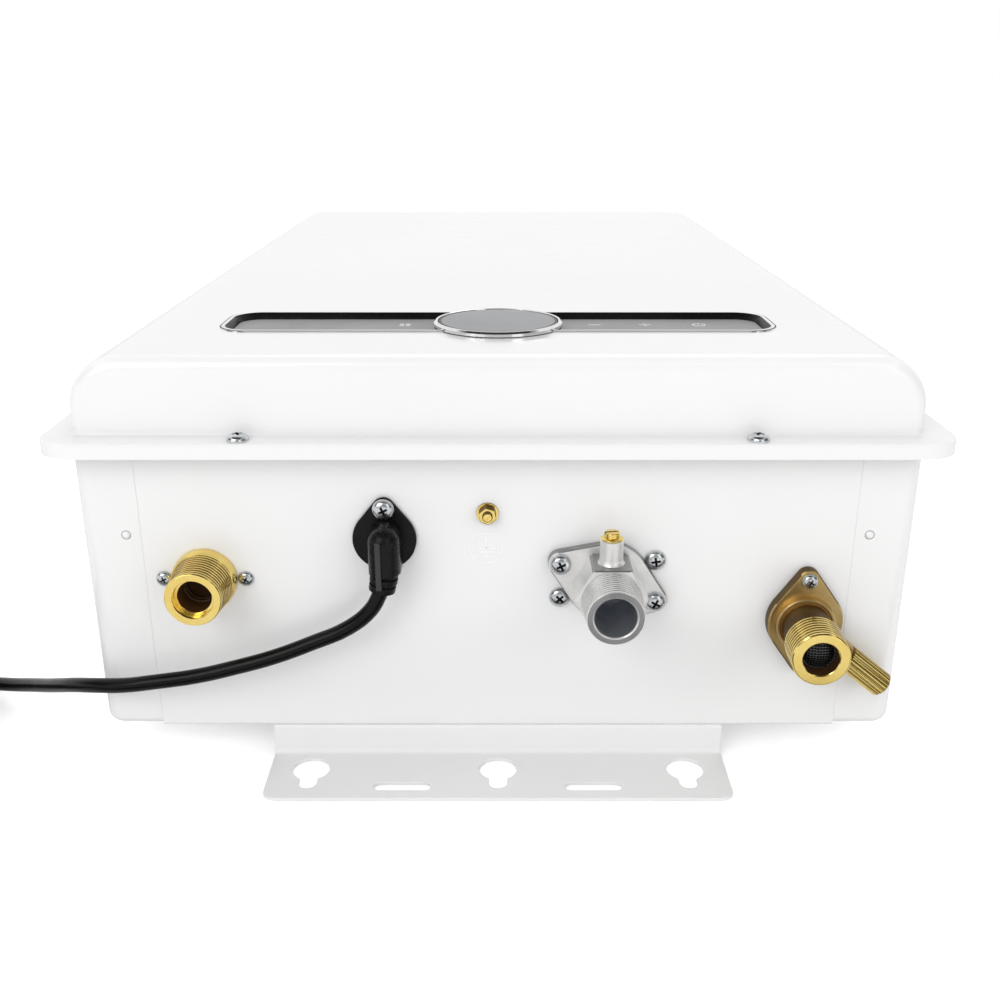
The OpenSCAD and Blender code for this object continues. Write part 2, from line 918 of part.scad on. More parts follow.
module display_lens() {
  lens_r = ring_d / 2 - ring_band - run_gap;
  lens_h = recess + ring_h - lens_drop;
  color([0.35, 0.36, 0.38])
    on_ring(z_fascia)
      rotate_extrude()
        polygon([
          [0, 0],
          [lens_r, 0],
          [lens_r, lens_h - lens_edge],
          [lens_r - 2 * lens_edge, lens_h],
          [0, lens_h]
        ]);
}

// Posts in the housing: four for the fascia beyond the board's ends, four under the board
module housing_posts() {
  post_d = 5;
  fascia_post_x = strip_l / 2 - 4;
  fascia_post_y = strip_w / 2 - 8;
  for (sx = [-1, 1], sy = [-1, 1]) {
    translate([sx * fascia_post_x, sy * fascia_post_y, 0])
      cylinder(d = post_d, h = z_fascia - fascia_t - z_housing);
    translate([sx * strip_l / 4, sy * strip_w / 4, 0])
      cylinder(d = post_d, h = housing_floor + board_up);
  }
}

module control_housing() {
  color([0.2, 0.2, 0.2])
    on_strip(z_housing) {
      difference() {
        linear_extrude(housing_d)
          control_shape(fascia_lap + part_gap + housing_edge);
        translate([0, 0, housing_floor])
          linear_extrude(housing_d)
            control_shape(fascia_lap + part_gap);
      }
      housing_posts();
    }
}

module display_board() {
  board_end = 15;
  board_edge = 3;
  display_edge = 8;
  board_top = z_housing + housing_floor + board_up + board_t;
  color("seagreen") {
    on_strip(board_top - board_t)
      slab(strip_l - 2 * board_end, strip_w - 2 * board_edge, board_t, strip_r / 2);
    on_ring(board_top)
      cylinder(d = ring_d - 2 * display_edge, h = z_fascia - fascia_t - part_gap - board_top);
  }
}

// Hot outlet

module hot_outlet() {
  thread_up = hot_collar_h + hot_groove_w;
  color("goldenrod")
    on_end(hot_x, z_hot)
      difference() {
        union() {
          cylinder(d = hot_collar_d, h = hot_collar_h);
          translate([0, 0, -stub_l])
            cylinder(d = hot_stub_d, h = stub_l + thread_up);
          translate([0, 0, thread_up])
            cylinder(d = thread_d, h = hot_reach - thread_up);
          translate([0, 0, -sheet_t - inner_plate_t])
            linear_extrude(inner_plate_t)
              lobe_shape(hot_plate_r, hot_lobe_r, hot_screw_x);
        }
        translate([0, 0, -stub_l - over])
          cylinder(d = water_bore, h = stub_l + hot_reach + 2 * over);
        translate([0, 0, hot_reach - mouth_l])
          cylinder(d = water_bore + 2 * mouth_step, h = mouth_l + over);
        for (s = [-1, 1])
          translate([s * hot_screw_x, 0, -sheet_t - inner_plate_t - over])
            cylinder(d = m3_d + 2 * run_gap, h = inner_plate_t + 2 * over);
      }
}

module hot_outlet_screws() {
  color("silver")
    for (s = [-1, 1])
      on_end(hot_x + s * hot_screw_x, z_hot)
        screw(m3_head, m3_head_h, m3_d, sheet_t + inner_plate_t + over);
}

// Cold inlet with its drain

// Runs along the drain, starting at the inlet's axis
module at_drain(r) {
  translate([0, 0, drain_out])
    rotate([0, 90, -drain_angle])
      translate([0, 0, r])
        children();
}

module cold_inlet() {
  color("peru")
    on_end(cold_x, z_cold)
      difference() {
        union() {
          rotate(90)
            linear_extrude(cold_flange_t)
              lobe_shape(cold_flange_r, lobe_r, cold_screw_y);
          cylinder(d = cold_boss_d, h = cold_boss_h);
          translate([0, 0, -sheet_t - spigot_l])
            cylinder(d = spigot_d, h = sheet_t + spigot_l + over);
          cylinder(d = cold_neck_d, h = cold_reach);
          translate([0, 0, cold_reach - cold_thread_l])
            cylinder(d = thread_d, h = cold_thread_l);
          at_drain(0)
            cylinder(d = drain_boss_d, h = drain_boss_l);
        }
        translate([0, 0, -sheet_t - spigot_l - over])
          cylinder(d = water_bore, h = sheet_t + spigot_l + cold_reach + 2 * over);
        at_drain(0)
          cylinder(d = drain_stem_d + 2 * run_gap, h = drain_boss_l + over);
        for (s = [-1, 1])
          translate([0, s * cold_screw_y, -over])
            cylinder(d = m4_d + 2 * run_gap, h = cold_flange_t + 2 * over);
      }
}

module cold_inlet_screws() {
  color("silver")
    for (s = [-1, 1])
      on_end(cold_x, z_cold + s * cold_screw_y)
        translate([0, 0, cold_flange_t])
          screw(cold_screw_head, m3_head_h, m4_d, cold_flange_t + sheet_t + sensor_plate_t);
}

module inlet_strainer() {
  rim_r = water_bore / 2 - run_gap;
  tip_r = rim_r / 2;
  rim_l = 2;
  color("gray")
    on_end(cold_x, z_cold)
      translate([0, 0, cold_reach - strainer_in])
        rotate_extrude()
          polygon([
            [0, -strainer_l],
            [tip_r, -strainer_l],
            [rim_r, -rim_l],
            [rim_r, 0],
            [rim_r - strainer_wall, 0],
            [tip_r - strainer_wall, strainer_wall - strainer_l],
            [0, strainer_wall - strainer_l]
          ]);
}

module drain_knob() {
  head_at = drain_boss_l + hole_gap;
  chamfer = 0.6;
  color("goldenrod")
    on_end(cold_x, z_cold)
      at_drain(0)
        rotate_extrude()
          polygon([
            [0, drain_stem_in],
            [drain_stem_d / 2, drain_stem_in],
            [drain_stem_d / 2, head_at],
            [drain_d / 2 - chamfer, head_at],
            [drain_d / 2, head_at + chamfer],
            [drain_d / 2, drain_reach - chamfer],
            [drain_d / 2 - chamfer, drain_reach],
            [0, drain_reach]
          ]);
}

module drain_seal() {
  color([0.15, 0.15, 0.15])
    on_end(cold_x, z_cold)
      at_drain(drain_stem_in - drain_slack - drain_seal_t)
        cylinder(d = drain_stem_d, h = drain_seal_t);
}

// Gas inlet

module gas_inlet() {
  lobe_turn = -atan(gas_screw_y / gas_screw_x);
  lobe_reach = norm([gas_screw_x, gas_screw_y]);
  port_top = gas_hex / 2 + port_h;
  color("lightgray")
    on_end(gas_x, z_gas)
      difference() {
        union() {
          rotate(lobe_turn)
            linear_extrude(gas_flange_t)
              lobe_shape(gas_flange_r, gas_lobe_r, lobe_reach);
          cylinder(d = gas_hex / cos(30), h = gas_hex_end, $fn = 6);
          cylinder(d = thread_d, h = gas_reach);
          translate([0, 0, -sheet_t - spigot_l])
            cylinder(d = spigot_d, h = sheet_t + spigot_l + over);
          translate([0, gas_hex / 2 - over, port_out])
            rotate([-90, 0, 0])
              cylinder(d = port_d, h = port_h + over);
        }
        translate([0, 0, -sheet_t - spigot_l - over])
          cylinder(d = gas_bore, h = sheet_t + spigot_l + gas_reach + 2 * over);
        translate([0, port_top - port_screw_l - hole_gap, port_out])
          rotate([-90, 0, 0])
            cylinder(d = port_screw_d + 2 * run_gap, h = port_screw_l + hole_gap + over);
        for (s = [-1, 1])
          translate([-s * gas_screw_x, s * gas_screw_y, -over])
            cylinder(d = m4_d + 2 * run_gap, h = gas_flange_t + 2 * over);
      }
}

// Two screws hold the flange, the other two hold the valve behind the panel
module gas_inlet_screws() {
  grip = gas_flange_t + sheet_t + valve_plate_t;
  color("silver")
    for (s = [-1, 1], t = [-1, 1])
      on_end(gas_x + s * gas_screw_x, z_gas + t * gas_screw_y)
        translate([0, 0, s * t < 0 ? gas_flange_t : 0])
          screw(m4_head, m4_head_h, m4_d, s * t < 0 ? grip : grip - gas_flange_t);
}

module gas_test_screw() {
  color("goldenrod")
    on_end(gas_x, z_gas)
      translate([0, gas_hex / 2 + port_h, port_out])
        rotate([-90, 0, 0])
          difference() {
            union() {
              translate([0, 0, drain_slack])
                cylinder(d = port_screw_head, h = port_screw_up);
              translate([0, 0, -port_screw_l])
                cylinder(d = port_screw_d, h = port_screw_l + over);
            }
            translate([-port_screw_head, -slot_cut / 2, port_screw_up - slot_cut])
              cube([2 * port_screw_head, slot_cut, 2 * slot_cut]);
          }
}

// Earth terminal and cord gland

module earth_terminal() {
  stud_in = 8;
  color("goldenrod")
    on_end(earth_x, z_earth)
      difference() {
        union() {
          cylinder(d = earth_washer_d, h = earth_washer_t);
          translate([0, 0, earth_washer_t])
            cylinder(d = earth_nut / cos(30), h = earth_nut_h, $fn = 6);
          translate([0, 0, -stud_in])
            cylinder(d = m4_d, h = stud_in + earth_stud);
        }
        translate([-m4_d, -slot_cut / 2, earth_stud - slot_cut])
          cube([2 * m4_d, slot_cut, 2 * slot_cut]);
      }
}

// Leaning end of the elbow: a core with two ribs, ending where the cord comes out
module cord_relief() {
  translate([0, -elbow_drop, elbow_out])
    rotate(-relief_lean)
      rotate([90, 0, 0]) {
        translate([0, 0, -relief_core / 2])
          cylinder(d = relief_core, h = relief_l + relief_core / 2);
        for (end = [rib_w + relief_foot, relief_l])
          translate([0, 0, end - rib_w])
            cylinder(d = relief_d, h = rib_w);
      }
}

module cord_gland() {
  color([0.08, 0.08, 0.08])
    on_end(gland_x, z_gland)
      difference() {
        union() {
          linear_extrude(gland_t)
            ear_shape(gland_r, gland_ear_r, gland_ear);
          translate([0, 0, -gland_spigot_l])
            cylinder(d = elbow_w - 2 * hole_gap, h = gland_spigot_l + over);
          translate([0, dome_up, 0])
            cylinder(d = elbow_w, h = elbow_out);
          translate([0, dome_up, elbow_out])
            sphere(d = elbow_w);
          translate([0, -elbow_drop, elbow_out])
            rotate([-90, 0, 0])
              cylinder(d = elbow_w, h = elbow_drop + dome_up);
          translate([-elbow_w / 2, -elbow_drop, 0])
            cube([elbow_w, elbow_drop + dome_up, elbow_out]);
          cord_relief();
        }
        translate([0, gland_ear, -over])
          cylinder(d = m4_d + 2 * run_gap, h = gland_t + 2 * over);
      }
}

module gland_screw() {
  color("silver")
    on_end(gland_x, z_gland + gland_ear)
      translate([0, 0, gland_t])
        screw(m4_head, m4_head_h, m4_d, screw_l);
}

// Mains cord, its coil, tie and plug

coil_angle = 360 * coil_turns;
coil_middle = [coil_x, y_low + coil_y, coil_z];

// From 0 to 1 over the half turn around the middle of the coil
function climb(a) = let (u = min(max((a - coil_angle / 2) / 180 + 0.5, 0), 1)) u * u * (3 - 2 * u);

function coil_point(a) =
  let (r = coil_start_r - coil_step * min(a, coil_angle - a) / 360, t = coil_start + a)
    coil_middle + [r * cos(t), r * sin(t), coil_step * climb(a)];

coil_loops = [for (i = [0:loop_rings * coil_turns]) coil_point(360 * i / loop_rings)];
coil_end = coil_loops[len(coil_loops) - 1];
coil_path = concat(
  [coil_loops[0] + [lead_in, 0, 0]],
  coil_loops,
  [for (i = [1:lead_rings]) coil_end - [0, lead_out * i / lead_rings, 0]]
);
coil_gap = min([
  for (i = [0:len(coil_path) - 1], j = [i + loop_rings / 2:len(coil_path) - 1])
    norm(coil_path[i] - coil_path[j])
]) - cord_d;
plug_start = coil_end - [0, lead_out, 0];

module power_cord() {
  color([0.08, 0.08, 0.08])
    swept([for (p = cord_route) p + [0, y_low, 0]], cord_d / 2, cord_sides, [0, 1, 0]);
}

module cord_coil() {
  echo(least_coil_gap = coil_gap);
  color([0.08, 0.08, 0.08])
    swept(coil_path, cord_d / 2, loop_sides, [0, 0, 1]);
}

// Strap round all the turns on the coil's near side
module cord_tie() {
  near_r = coil_start_r - coil_step * coil_turns / 2 - cord_d / 2 - tie_gap;
  far_r = coil_start_r + cord_d / 2 + tie_gap;
  top = coil_z + coil_step + cord_d / 2 + tie_gap;
  color([0.1, 0.1, 0.1])
    translate([coil_x - tie_w / 2, coil_middle[1], 0])
      difference() {
        translate([0, -far_r - tie_t, 0])
          cube([tie_w, far_r - near_r + 2 * tie_t, top + tie_t]);
        translate([-over, -far_r, tie_t])
          cube([tie_w + 2 * over, far_r - near_r, top - tie_t]);
      }
}

module at_plug() {
  translate(plug_start)
    rotate([90, 0, 0])
      children();
}

module plug_body() {
  plug_h = 2 * plug_start[2];
  plug_r = 5;
  color([0.08, 0.08, 0.08])
    at_plug() {
      cylinder(d1 = plug_neck_d - 3, d2 = plug_neck_d, h = plug_neck_l);
      translate([0, 0, plug_neck_l])
        slab(plug_w, plug_h, plug_l, plug_r);
    }
}

module plug_pins() {
  color("gold")
    at_plug()
      translate([0, blade_up, plug_neck_l + plug_l]) {
        for (s = [-1, 1])
          translate([s * blade_gap / 2 - blade_t / 2, -blade_w / 2, 0])
            cube([blade_t, blade_w, blade_l]);
        translate([0, -earth_pin_drop, 0])
          cylinder(d = earth_pin_d, h = earth_pin_l);
      }
}

// Flue

module at_flue(y) {
  translate([0, y, z_flue])
    rotate([-90, 0, 0])
      children();
}

module flue_collar() {
  bore = flue_d - 2 * flue_wall;
  color("silver")
    at_flue(y_top) {
      tube(flue_d + 2 * flue_base_w, bore, flue_base_t);
      tube(flue_d, bore, flue_reach);
    }
}

module exhaust_hood() {
  neck_l = y_top + neck_past - y_hood - hood_l;
  color("lightsteelblue")
    difference() {
      union() {
        translate([-hx_w / 2, y_hood, z_hx])
          cube([hx_w, hood_l, hx_d]);
        at_flue(y_hood + hood_l - hx_wall)
          cylinder(d = neck_d, h = neck_l + hx_wall);
      }
      translate([hx_wall - hx_w / 2, y_hood - over, z_hx + hx_wall])
        cube([hx_w - 2 * hx_wall, hood_l - hx_wall + over, hx_d - 2 * hx_wall]);
      at_flue(y_hood)
        cylinder(d = neck_d - 2 * hx_wall, h = hood_l + neck_l + over);
    }
}

// Heat exchanger

module box_shell(w, l, y, back) {
  difference() {
    translate([-w / 2, y, z_hx])
      cube([w, l, hx_d]);
    translate([hx_wall - w / 2, y + back, z_hx + hx_wall])
      cube([w - 2 * hx_wall, l + 2 * over, hx_d - 2 * hx_wall]);
  }
}

module at_tubes() {
  for (k = [-1:1])
    translate([0, tube_y, tube_z + k * tube_pitch])
      rotate([0, 90, 0])
        children();
}

module at_electrodes() {
  for (s = [-1, 1])
    translate([s * electrode_x, y_hx + electrode_in, z_burner_front])
      children();
}

module exchanger_jacket() {
  color("chocolate")
    difference() {
      box_shell(hx_w, hx_l, y_hx, -over);
      at_tubes()
        cylinder(d = tube_d + 2 * run_gap, h = hx_w + 2 * over, center = true);
      at_electrodes()
        cylinder(d = electrode_d + 2 * run_gap, h = 4 * hx_wall, center = true);
    }
}

module exchanger_fins() {
  fin_pitch = (hx_w - 2 * fin_edge) / (fin_count - 1);
  color("peru")
    difference() {
      for (i = [0:fin_count - 1])
        translate([fin_edge - hx_w / 2 + i * fin_pitch - fin_t / 2, tube_y - fin_l / 2, z_hx + hx_wall + part_gap])
          cube([fin_t, fin_l, hx_d - 2 * (hx_wall + part_gap)]);
      at_tubes()
        cylinder(d = tube_d + 2 * run_gap, h = hx_w, center = true);
    }
}

// Three passes with return bends brazed to their ends.
// Water goes in on the right at the back and out on the left at the front
module exchanger_tube() {
  pass_l = hx_w + 2 * tube_out;
  inner_d = tube_d - 2 * tube_wall;
  braze_gap = 0.05;
  color("peru") {
    at_tubes()
      translate([0, 0, -pass_l / 2])
        tube(tube_d, inner_d, pass_l);
    for (s = [-1, 1])
      translate([s * (pass_l / 2 + braze_gap), tube_y, tube_z + s * tube_pitch / 2])
        rotate([0, -90, -90 * s])
          rotate_extrude(angle = 180)
            translate([tube_pitch / 2, 0])
              difference() {
                circle(d = tube_d);
                circle(d = inner_d);
              }
  }
}

// Burner

module at_bars() {
  pitch = (burner_w - 2 * hx_wall) / bar_count;
  for (i = [0:bar_count - 1])
    translate([(i - (bar_count - 1) / 2) * pitch, 0, 0])
      children();
}

module burner_box() {
  y_injector = y_burner + manifold_in + manifold_w / 2;
  color("silver")
    difference() {
      box_shell(burner_w, burner_l, y_burner, hx_wall);
      translate([blower_x + housing_wall, y_burner - over, z_blower + housing_wall])
        cube([blower_r - 2 * housing_wall, hx_wall + 2 * over, blower_h - 2 * housing_wall]);
      at_bars()
        translate([0, y_injector, z_burner_front])
          cylinder(d = injector_d + 2 * hole_gap, h = 4 * hx_wall, center = true);
    }
}

module burner_bars() {
  bar_l = burner_l - 2 * bar_in;
  bar_h = hx_d - hx_wall - bar_front;
  color("darkgray")
    at_bars()
      translate([-bar_w / 2, y_burner + bar_in, z_hx + hx_wall])
        difference() {
          cube([bar_w, bar_l, bar_h]);
          translate([bar_wall, bar_wall, bar_wall])
            cube([bar_w - 2 * bar_wall, bar_l - 2 * bar_wall, bar_h]);
        }
}

module gas_manifold() {
  color("silver")
    translate([manifold_edge - burner_w / 2, y_burner + manifold_in, z_burner_front])
      cube([burner_w - 2 * manifold_edge, manifold_w, manifold_d]);
}

module gas_injectors() {
  color("goldenrod")
    at_bars()
      translate([0, y_burner + manifold_in + manifold_w / 2, z_burner_front - injector_l])
        cylinder(d = injector_d, h = injector_l);
}

module electrodes() {
  plate_w = 16;
  plate_t = 1.5;
  wire_in = 40;
  color("ivory")
    at_electrodes() {
      translate([0, 0, -hx_wall - electrode_l / 3])
        cylinder(d = electrode_d, h = electrode_l / 2);
      translate([-plate_w / 2, -plate_w / 2, 0])
        cube([plate_w, plate_w, plate_t]);
      translate([0, 0, -wire_in])
        cylinder(d = electrode_wire, h = wire_in + 2 * electrode_wire);
    }
}

module thermal_cutout() {
  cutout_edge = 36;
  cutout_x = hx_w / 2 - cutout_edge;
  cutout_in = 70;
  base_d = 16;
  base_h = 4;
  cap_d = 12;
  cap_h = 3;
  color("dimgray")
    translate([cutout_x, y_hx + cutout_in, z_burner_front]) {
      cylinder(d = base_d, h = base_h);
      translate([0, 0, base_h])
        cylinder(d = cap_d, h = cap_h);
    }
}

module burner_mounts() {
  inset = 12;
  color("silver")
    for (s = [-1, 1], y = [y_burner + inset, y_hood - inset - mount_l])
      translate([s * (hx_w / 2 - mount_w) - mount_w / 2, y, z_in])
        cube([mount_w, mount_l, z_hx - z_in]);
}

// Gas valve

module gas_valve() {
  plate_edge = 5.5;
  plate_end = 7;
  plate_w = 2 * (gas_screw_x + plate_edge);
  plate_h = 2 * (gas_screw_y + plate_end);
  plate_r = 4;
  body_top = valve_w / 2;
  color("darkgray")
    on_end(gas_x, z_gas)
      difference() {
        union() {
          translate([0, 0, -sheet_t - valve_plate_t])
            slab(plate_w, plate_h, valve_plate_t, plate_r);
          translate([-valve_w / 2, -valve_w / 2, -sheet_t - valve_plate_t - valve_l])
            cube([valve_w, valve_w, valve_l]);
        }
        translate([0, 0, -sheet_t - spigot_l])
          cylinder(d = spigot_d + 2 * run_gap, h = spigot_l + over);
        translate([0, 0, -sheet_t - valve_plate_t - valve_l - over])
          cylinder(d = valve_bore, h = valve_l + valve_plate_t);
        translate([0, 0, -valve_mid])
          rotate([-90, 0, 0])
            cylinder(d = seat_port_d, h = body_top);
        translate([0, chamber_up - run_gap, -valve_mid])
          rotate([-90, 0, 0])
            cylinder(d = chamber_d, h = body_top);
        for (s = [-1, 1], t = [-1, 1])
          translate([s * gas_screw_x, t * gas_screw_y, -sheet_t - valve_plate_t - screw_l])
            cylinder(d = m4_d + 2 * run_gap, h = valve_plate_t + screw_l + over);
      }
}

module valve_coil() {
  color([0.15, 0.15, 0.15])
    on_end(gas_x, z_gas)
      translate([0, valve_w / 2, -valve_mid])
        rotate([-90, 0, 0])
          difference() {
            cylinder(d = coil_d, h = coil_up);
            translate([0, 0, -over])
              cylinder(d = plunger_d + 2 * run_gap, h = coil_up - coil_cap + over);
          }
}

module valve_plunger() {
  top = valve_w / 2 + coil_up - coil_cap - plunger_room;
  color("silver")
    on_end(gas_x, z_gas)
      translate([0, 0, -valve_mid])
        rotate([-90, 0, 0]) {
          translate([0, 0, chamber_up])
            cylinder(d = plunger_head_d, h = plunger_head_t);
          translate([0, 0, chamber_up])
            cylinder(d = plunger_d, h = top - chamber_up);
        }
}

module gas_pipe() {
  y_valve = y_low + valve_mid + valve_l / 2;
  y_end = y_burner + manifold_in;
  z_end = z_burner_front + manifold_d / 2;
  bend = 14;
  rise = 10;
  climb_end = 24;
  color("silver")
    swept([
      [gas_x, y_valve, z_gas],
      [gas_x, y_valve + bend, z_gas],
      [gas_x + 1, y_valve + 2 * bend, z_gas + 1],
      [gas_pipe_x - rise, y_valve + 4 * bend, z_gas + rise],
      [gas_pipe_x, y_end - 6 * bend, z_end - climb_end],
      [gas_pipe_x, y_end - 4 * bend, z_end - rise],
      [gas_pipe_x, y_end - 2 * bend, z_end - 1],
      [gas_pipe_x, y_end - bend, z_end],
      [gas_pipe_x, y_end, z_end]
    ], gas_pipe_d / 2, cord_sides, [1, 0, 0]);
}

// Blower

module at_blower(z) {
  translate([blower_x, blower_y, z])
    children();
}

// Scroll with its outlet, drawn in by a wall
module scroll_shape(inset) {
  circle(blower_r - inset);
  translate([inset, 0])
    square([blower_r - 2 * inset, y_burner - blower_y + (inset > 0 ? over : 0)]);
}

module blower_housing() {
  inlet_edge = 17;
  shaft_room = 2;
  color("silver")
    at_blower(z_blower)
      difference() {
        linear_extrude(blower_h)
          scroll_shape(0);
        translate([0, 0, housing_wall])
          linear_extrude(blower_h - 2 * housing_wall)
            scroll_shape(housing_wall);
        cylinder(d = wheel_d - 2 * inlet_edge, h = blower_h + over);
        translate([0, 0, -over])
          cylinder(d = shaft_d + 2 * shaft_room, h = housing_wall + 2 * over);
      }
}

module blower_wheel() {
  disc_t = 2;
  ring_w = 8;
  ring_t = 3;
  vane_l = 9;
  vane_turn = 35;
  vane_t = 1.2;
  hub_d = 16;
  hub_h = 18;
  shaft_in = 30;
  color("lightgray")
    at_blower(z_blower + housing_wall + wheel_gap) {
      cylinder(d = wheel_d, h = disc_t);
      cylinder(d = hub_d, h = hub_h);
      translate([0, 0, wheel_h - ring_t])
        tube(wheel_d, wheel_d - 2 * ring_w, ring_t);
      for (i = [0:blade_count - 1])
        rotate(360 * i / blade_count)
          translate([wheel_d / 2 - ring_w / 2 - disc_t / 2, 0, disc_t / 2])
            rotate(vane_turn)
              translate([-vane_l / 2, -vane_t / 2, 0])
                cube([vane_l, vane_t, wheel_h - disc_t / 2 - ring_t / 2]);
      translate([0, 0, -shaft_in])
        cylinder(d = shaft_d, h = shaft_in + over);
    }
}

module blower_motor() {
  bore_up = 4;
  color("dimgray")
    at_blower(z_in)
      difference() {
        cylinder(d = motor_d, h = motor_h);
        translate([0, 0, bore_up])
          cylinder(d = shaft_d + 2 * run_gap, h = motor_h);
      }
}

// Flow sensor

module spider(z) {
  spoke_w = 1.6;
  translate([0, 0, z - spider_t])
    difference() {
      union() {
        cylinder(d = spider_hub, h = spider_t);
        for (turn = [0, 120, 240])
          rotate(turn)
            translate([0, -spoke_w / 2, 0])
              cube([sensor_d / 2 - spoke_w, spoke_w, spider_t]);
      }
      translate([0, 0, -over])
        cylinder(d = turbine_pin + 2 * run_gap, h = spider_t + 2 * over);
    }
}

module flow_sensor() {
  inner_end = -sheet_t - sensor_plate_t - sensor_l;
  bore_end = -spider_top - 2 * spider_t - turbine_l - 2 * turbine_slack;
  color("ivory")
    on_end(cold_x, z_cold) {
      difference() {
        union() {
          translate([0, 0, -sheet_t - sensor_plate_t])
            rotate(90)
              linear_extrude(sensor_plate_t)
                lobe_shape(sensor_d / 2, lobe_r, cold_screw_y);
          translate([0, 0, inner_end])
            cylinder(d = sensor_d, h = -sheet_t - inner_end);
        }
        translate([0, 0, -sheet_t - spigot_l])
          cylinder(d = spigot_d + 2 * run_gap, h = spigot_l + over);
        translate([0, 0, bore_end])
          cylinder(d = sensor_bore, h = -bore_end);
        translate([0, 0, inner_end - over])
          cylinder(d = sensor_out, h = -inner_end);
        for (s = [-1, 1])
          translate([0, s * cold_screw_y, -sheet_t - sensor_plate_t - over])
            cylinder(d = m4_d + 2 * run_gap, h = sensor_plate_t + 2 * over);
      }
      spider(-spider_top);
      spider(-spider_top - spider_t - turbine_l - 2 * turbine_slack);
    }
}

module flow_turbine() {
  hub_d = 6;
  blades = 5;
  blade_t = 1.2;
  blade_turn = 25;
  blade_h = turbine_l - 3;
  color("white")
    on_end(cold_x, z_cold)
      translate([0, 0, -spider_top - spider_t - turbine_slack - turbine_l]) {
        cylinder(d = hub_d, h = turbine_l);
        translate([0, 0, turbine_slack - spider_t])
          cylinder(d = turbine_pin, h = turbine_l + 2 * (spider_t - turbine_slack));
        intersection() {
          cylinder(d = turbine_d, h = turbine_l);
          for (i = [0:blades - 1])
            rotate(360 * i / blades)
              translate([0, 0, turbine_l / 2])
                rotate([blade_turn, 0, 0])
                  translate([0, -blade_t / 2, -blade_h / 2])
                    cube([turbine_d, blade_t, blade_h]);
        }
      }
}

// Water pipes inside: each leaves its fitting straight and turns into a pass of the exchanger

module water_pipe(side, start, end) {
  out = 18;
  turn_in = 9;
  stub = 5;
  mid_y = (start[1] + end[1]) / 2;
  step = 24;
  color("peru")
    swept([
      start,
      start + [0, step / 2, 0],
      [start[0], (start[1] + mid_y) / 2, start[2]],
      [start[0], mid_y, start[2]],
      [start[0] + side, end[1] - 3 * step, end[2] + 0.5 * (start[2] - end[2])],
      [end[0] + side * out, end[1] - 1.6 * step, end[2] + 0.12 * (start[2] - end[2])],
      [end[0] + side * (out + 1), end[1] - 0.9 * step, end[2]],
      [end[0] + side * (out - 2), end[1] - 0.4 * step, end[2]],
      [end[0] + side * (out - turn_in), end[1] - 0.06 * step, end[2]],
      [end[0] + side * stub, end[1], end[2]],
      end
    ], pipe_d / 2, cord_sides, [0, 0, 1]);
}

module cold_pipe() {
  water_pipe(1, [cold_x, y_sensor, z_cold], [hx_w / 2 + tube_out, tube_y, tube_z - tube_pitch]);
}

module hot_pipe() {
  water_pipe(-1, [hot_x, y_low + stub_l, z_hot], [-hx_w / 2 - tube_out, tube_y, tube_z + tube_pitch]);
}

// Controls inside

module at_box() {
  translate([box_x, y_low + box_in + box_l / 2, z_in])
    children();
}

module control_box() {
  box_r = 4;
  post_d = 6;
  color([0.2, 0.2, 0.2])
    at_box() {
      difference() {
        slab(box_w, box_l, box_h, box_r);
        translate([0, 0, box_wall])
          slab(box_w - 2 * box_wall, box_l - 2 * box_wall, box_h, box_r - box_wall);
      }
      for (sx = [-1, 1], sy = [-1, 1])
        translate([sx * box_w / 3, sy * box_l / 3, 0])
          cylinder(d = post_d, h = box_wall + board_up);
    }
}

module main_board() {
  board_edge = box_wall + 2;
  transformer = [28, 24, 20];
  relay = [22, 16, 14];
  capacitor_d = 10;
  capacitor_h = 16;
  capacitor_pitch = 13;
  color("seagreen")
    at_box()
      translate([0, 0, box_wall + board_up]) {
        slab(box_w - 2 * board_edge, box_l - 2 * board_edge, board_t, 2);
        translate([-box_w / 3, -box_l / 4, board_t])
          cube(transformer);
        for (i = [0:2])
          translate([i * capacitor_pitch, box_l / 5, board_t])
            cylinder(d = capacitor_d, h = capacitor_h);
        translate([box_w / 6, -box_l / 4, board_t])
          cube(relay);
      }
}

module ignition_module() {
  module_x = 92;
  module_back = 102;
  module_w = 26;
  module_l = 54;
  module_r = 4;
  outlet_pitch = 28;
  outlet_d = 9;
  outlet_h = 10;
  color("dimgray")
    translate([module_x, y_burner - module_back, z_in]) {
      slab(module_w, module_l, module_w, module_r);
      for (s = [-1, 1])
        translate([0, s * outlet_pitch / 2, module_w])
          cylinder(d = outlet_d, h = outlet_h);
    }
}

rear_case();
bottom_panel();
top_panel();
panel_rivets();
lower_bracket();
upper_bracket();
bracket_rivets();
front_cover();
cover_seal();
cover_screws();
control_trim();
control_fascia();
display_ring();
display_lens();
control_housing();
display_board();
hot_outlet();
hot_outlet_screws();
cold_inlet();
cold_inlet_screws();
inlet_strainer();
drain_knob();
drain_seal();
gas_inlet();
gas_inlet_screws();
gas_test_screw();
earth_terminal();
cord_gland();
gland_screw();
power_cord();
cord_coil();
cord_tie();
plug_body();
plug_pins();
flue_collar();
exhaust_hood();
exchanger_jacket();
exchanger_fins();
exchanger_tube();
burner_box();
burner_bars();
gas_manifold();
gas_injectors();
gas_valve();
valve_coil();
valve_plunger();
gas_pipe();
blower_housing();
blower_wheel();
blower_motor();
flow_sensor();
flow_turbine();
cold_pipe();
hot_pipe();
control_box();
main_board();
ignition_module();
electrodes();
thermal_cutout();
burner_mounts();
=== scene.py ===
import json
import math

import bmesh
import bpy
from mathutils import Matrix, Vector


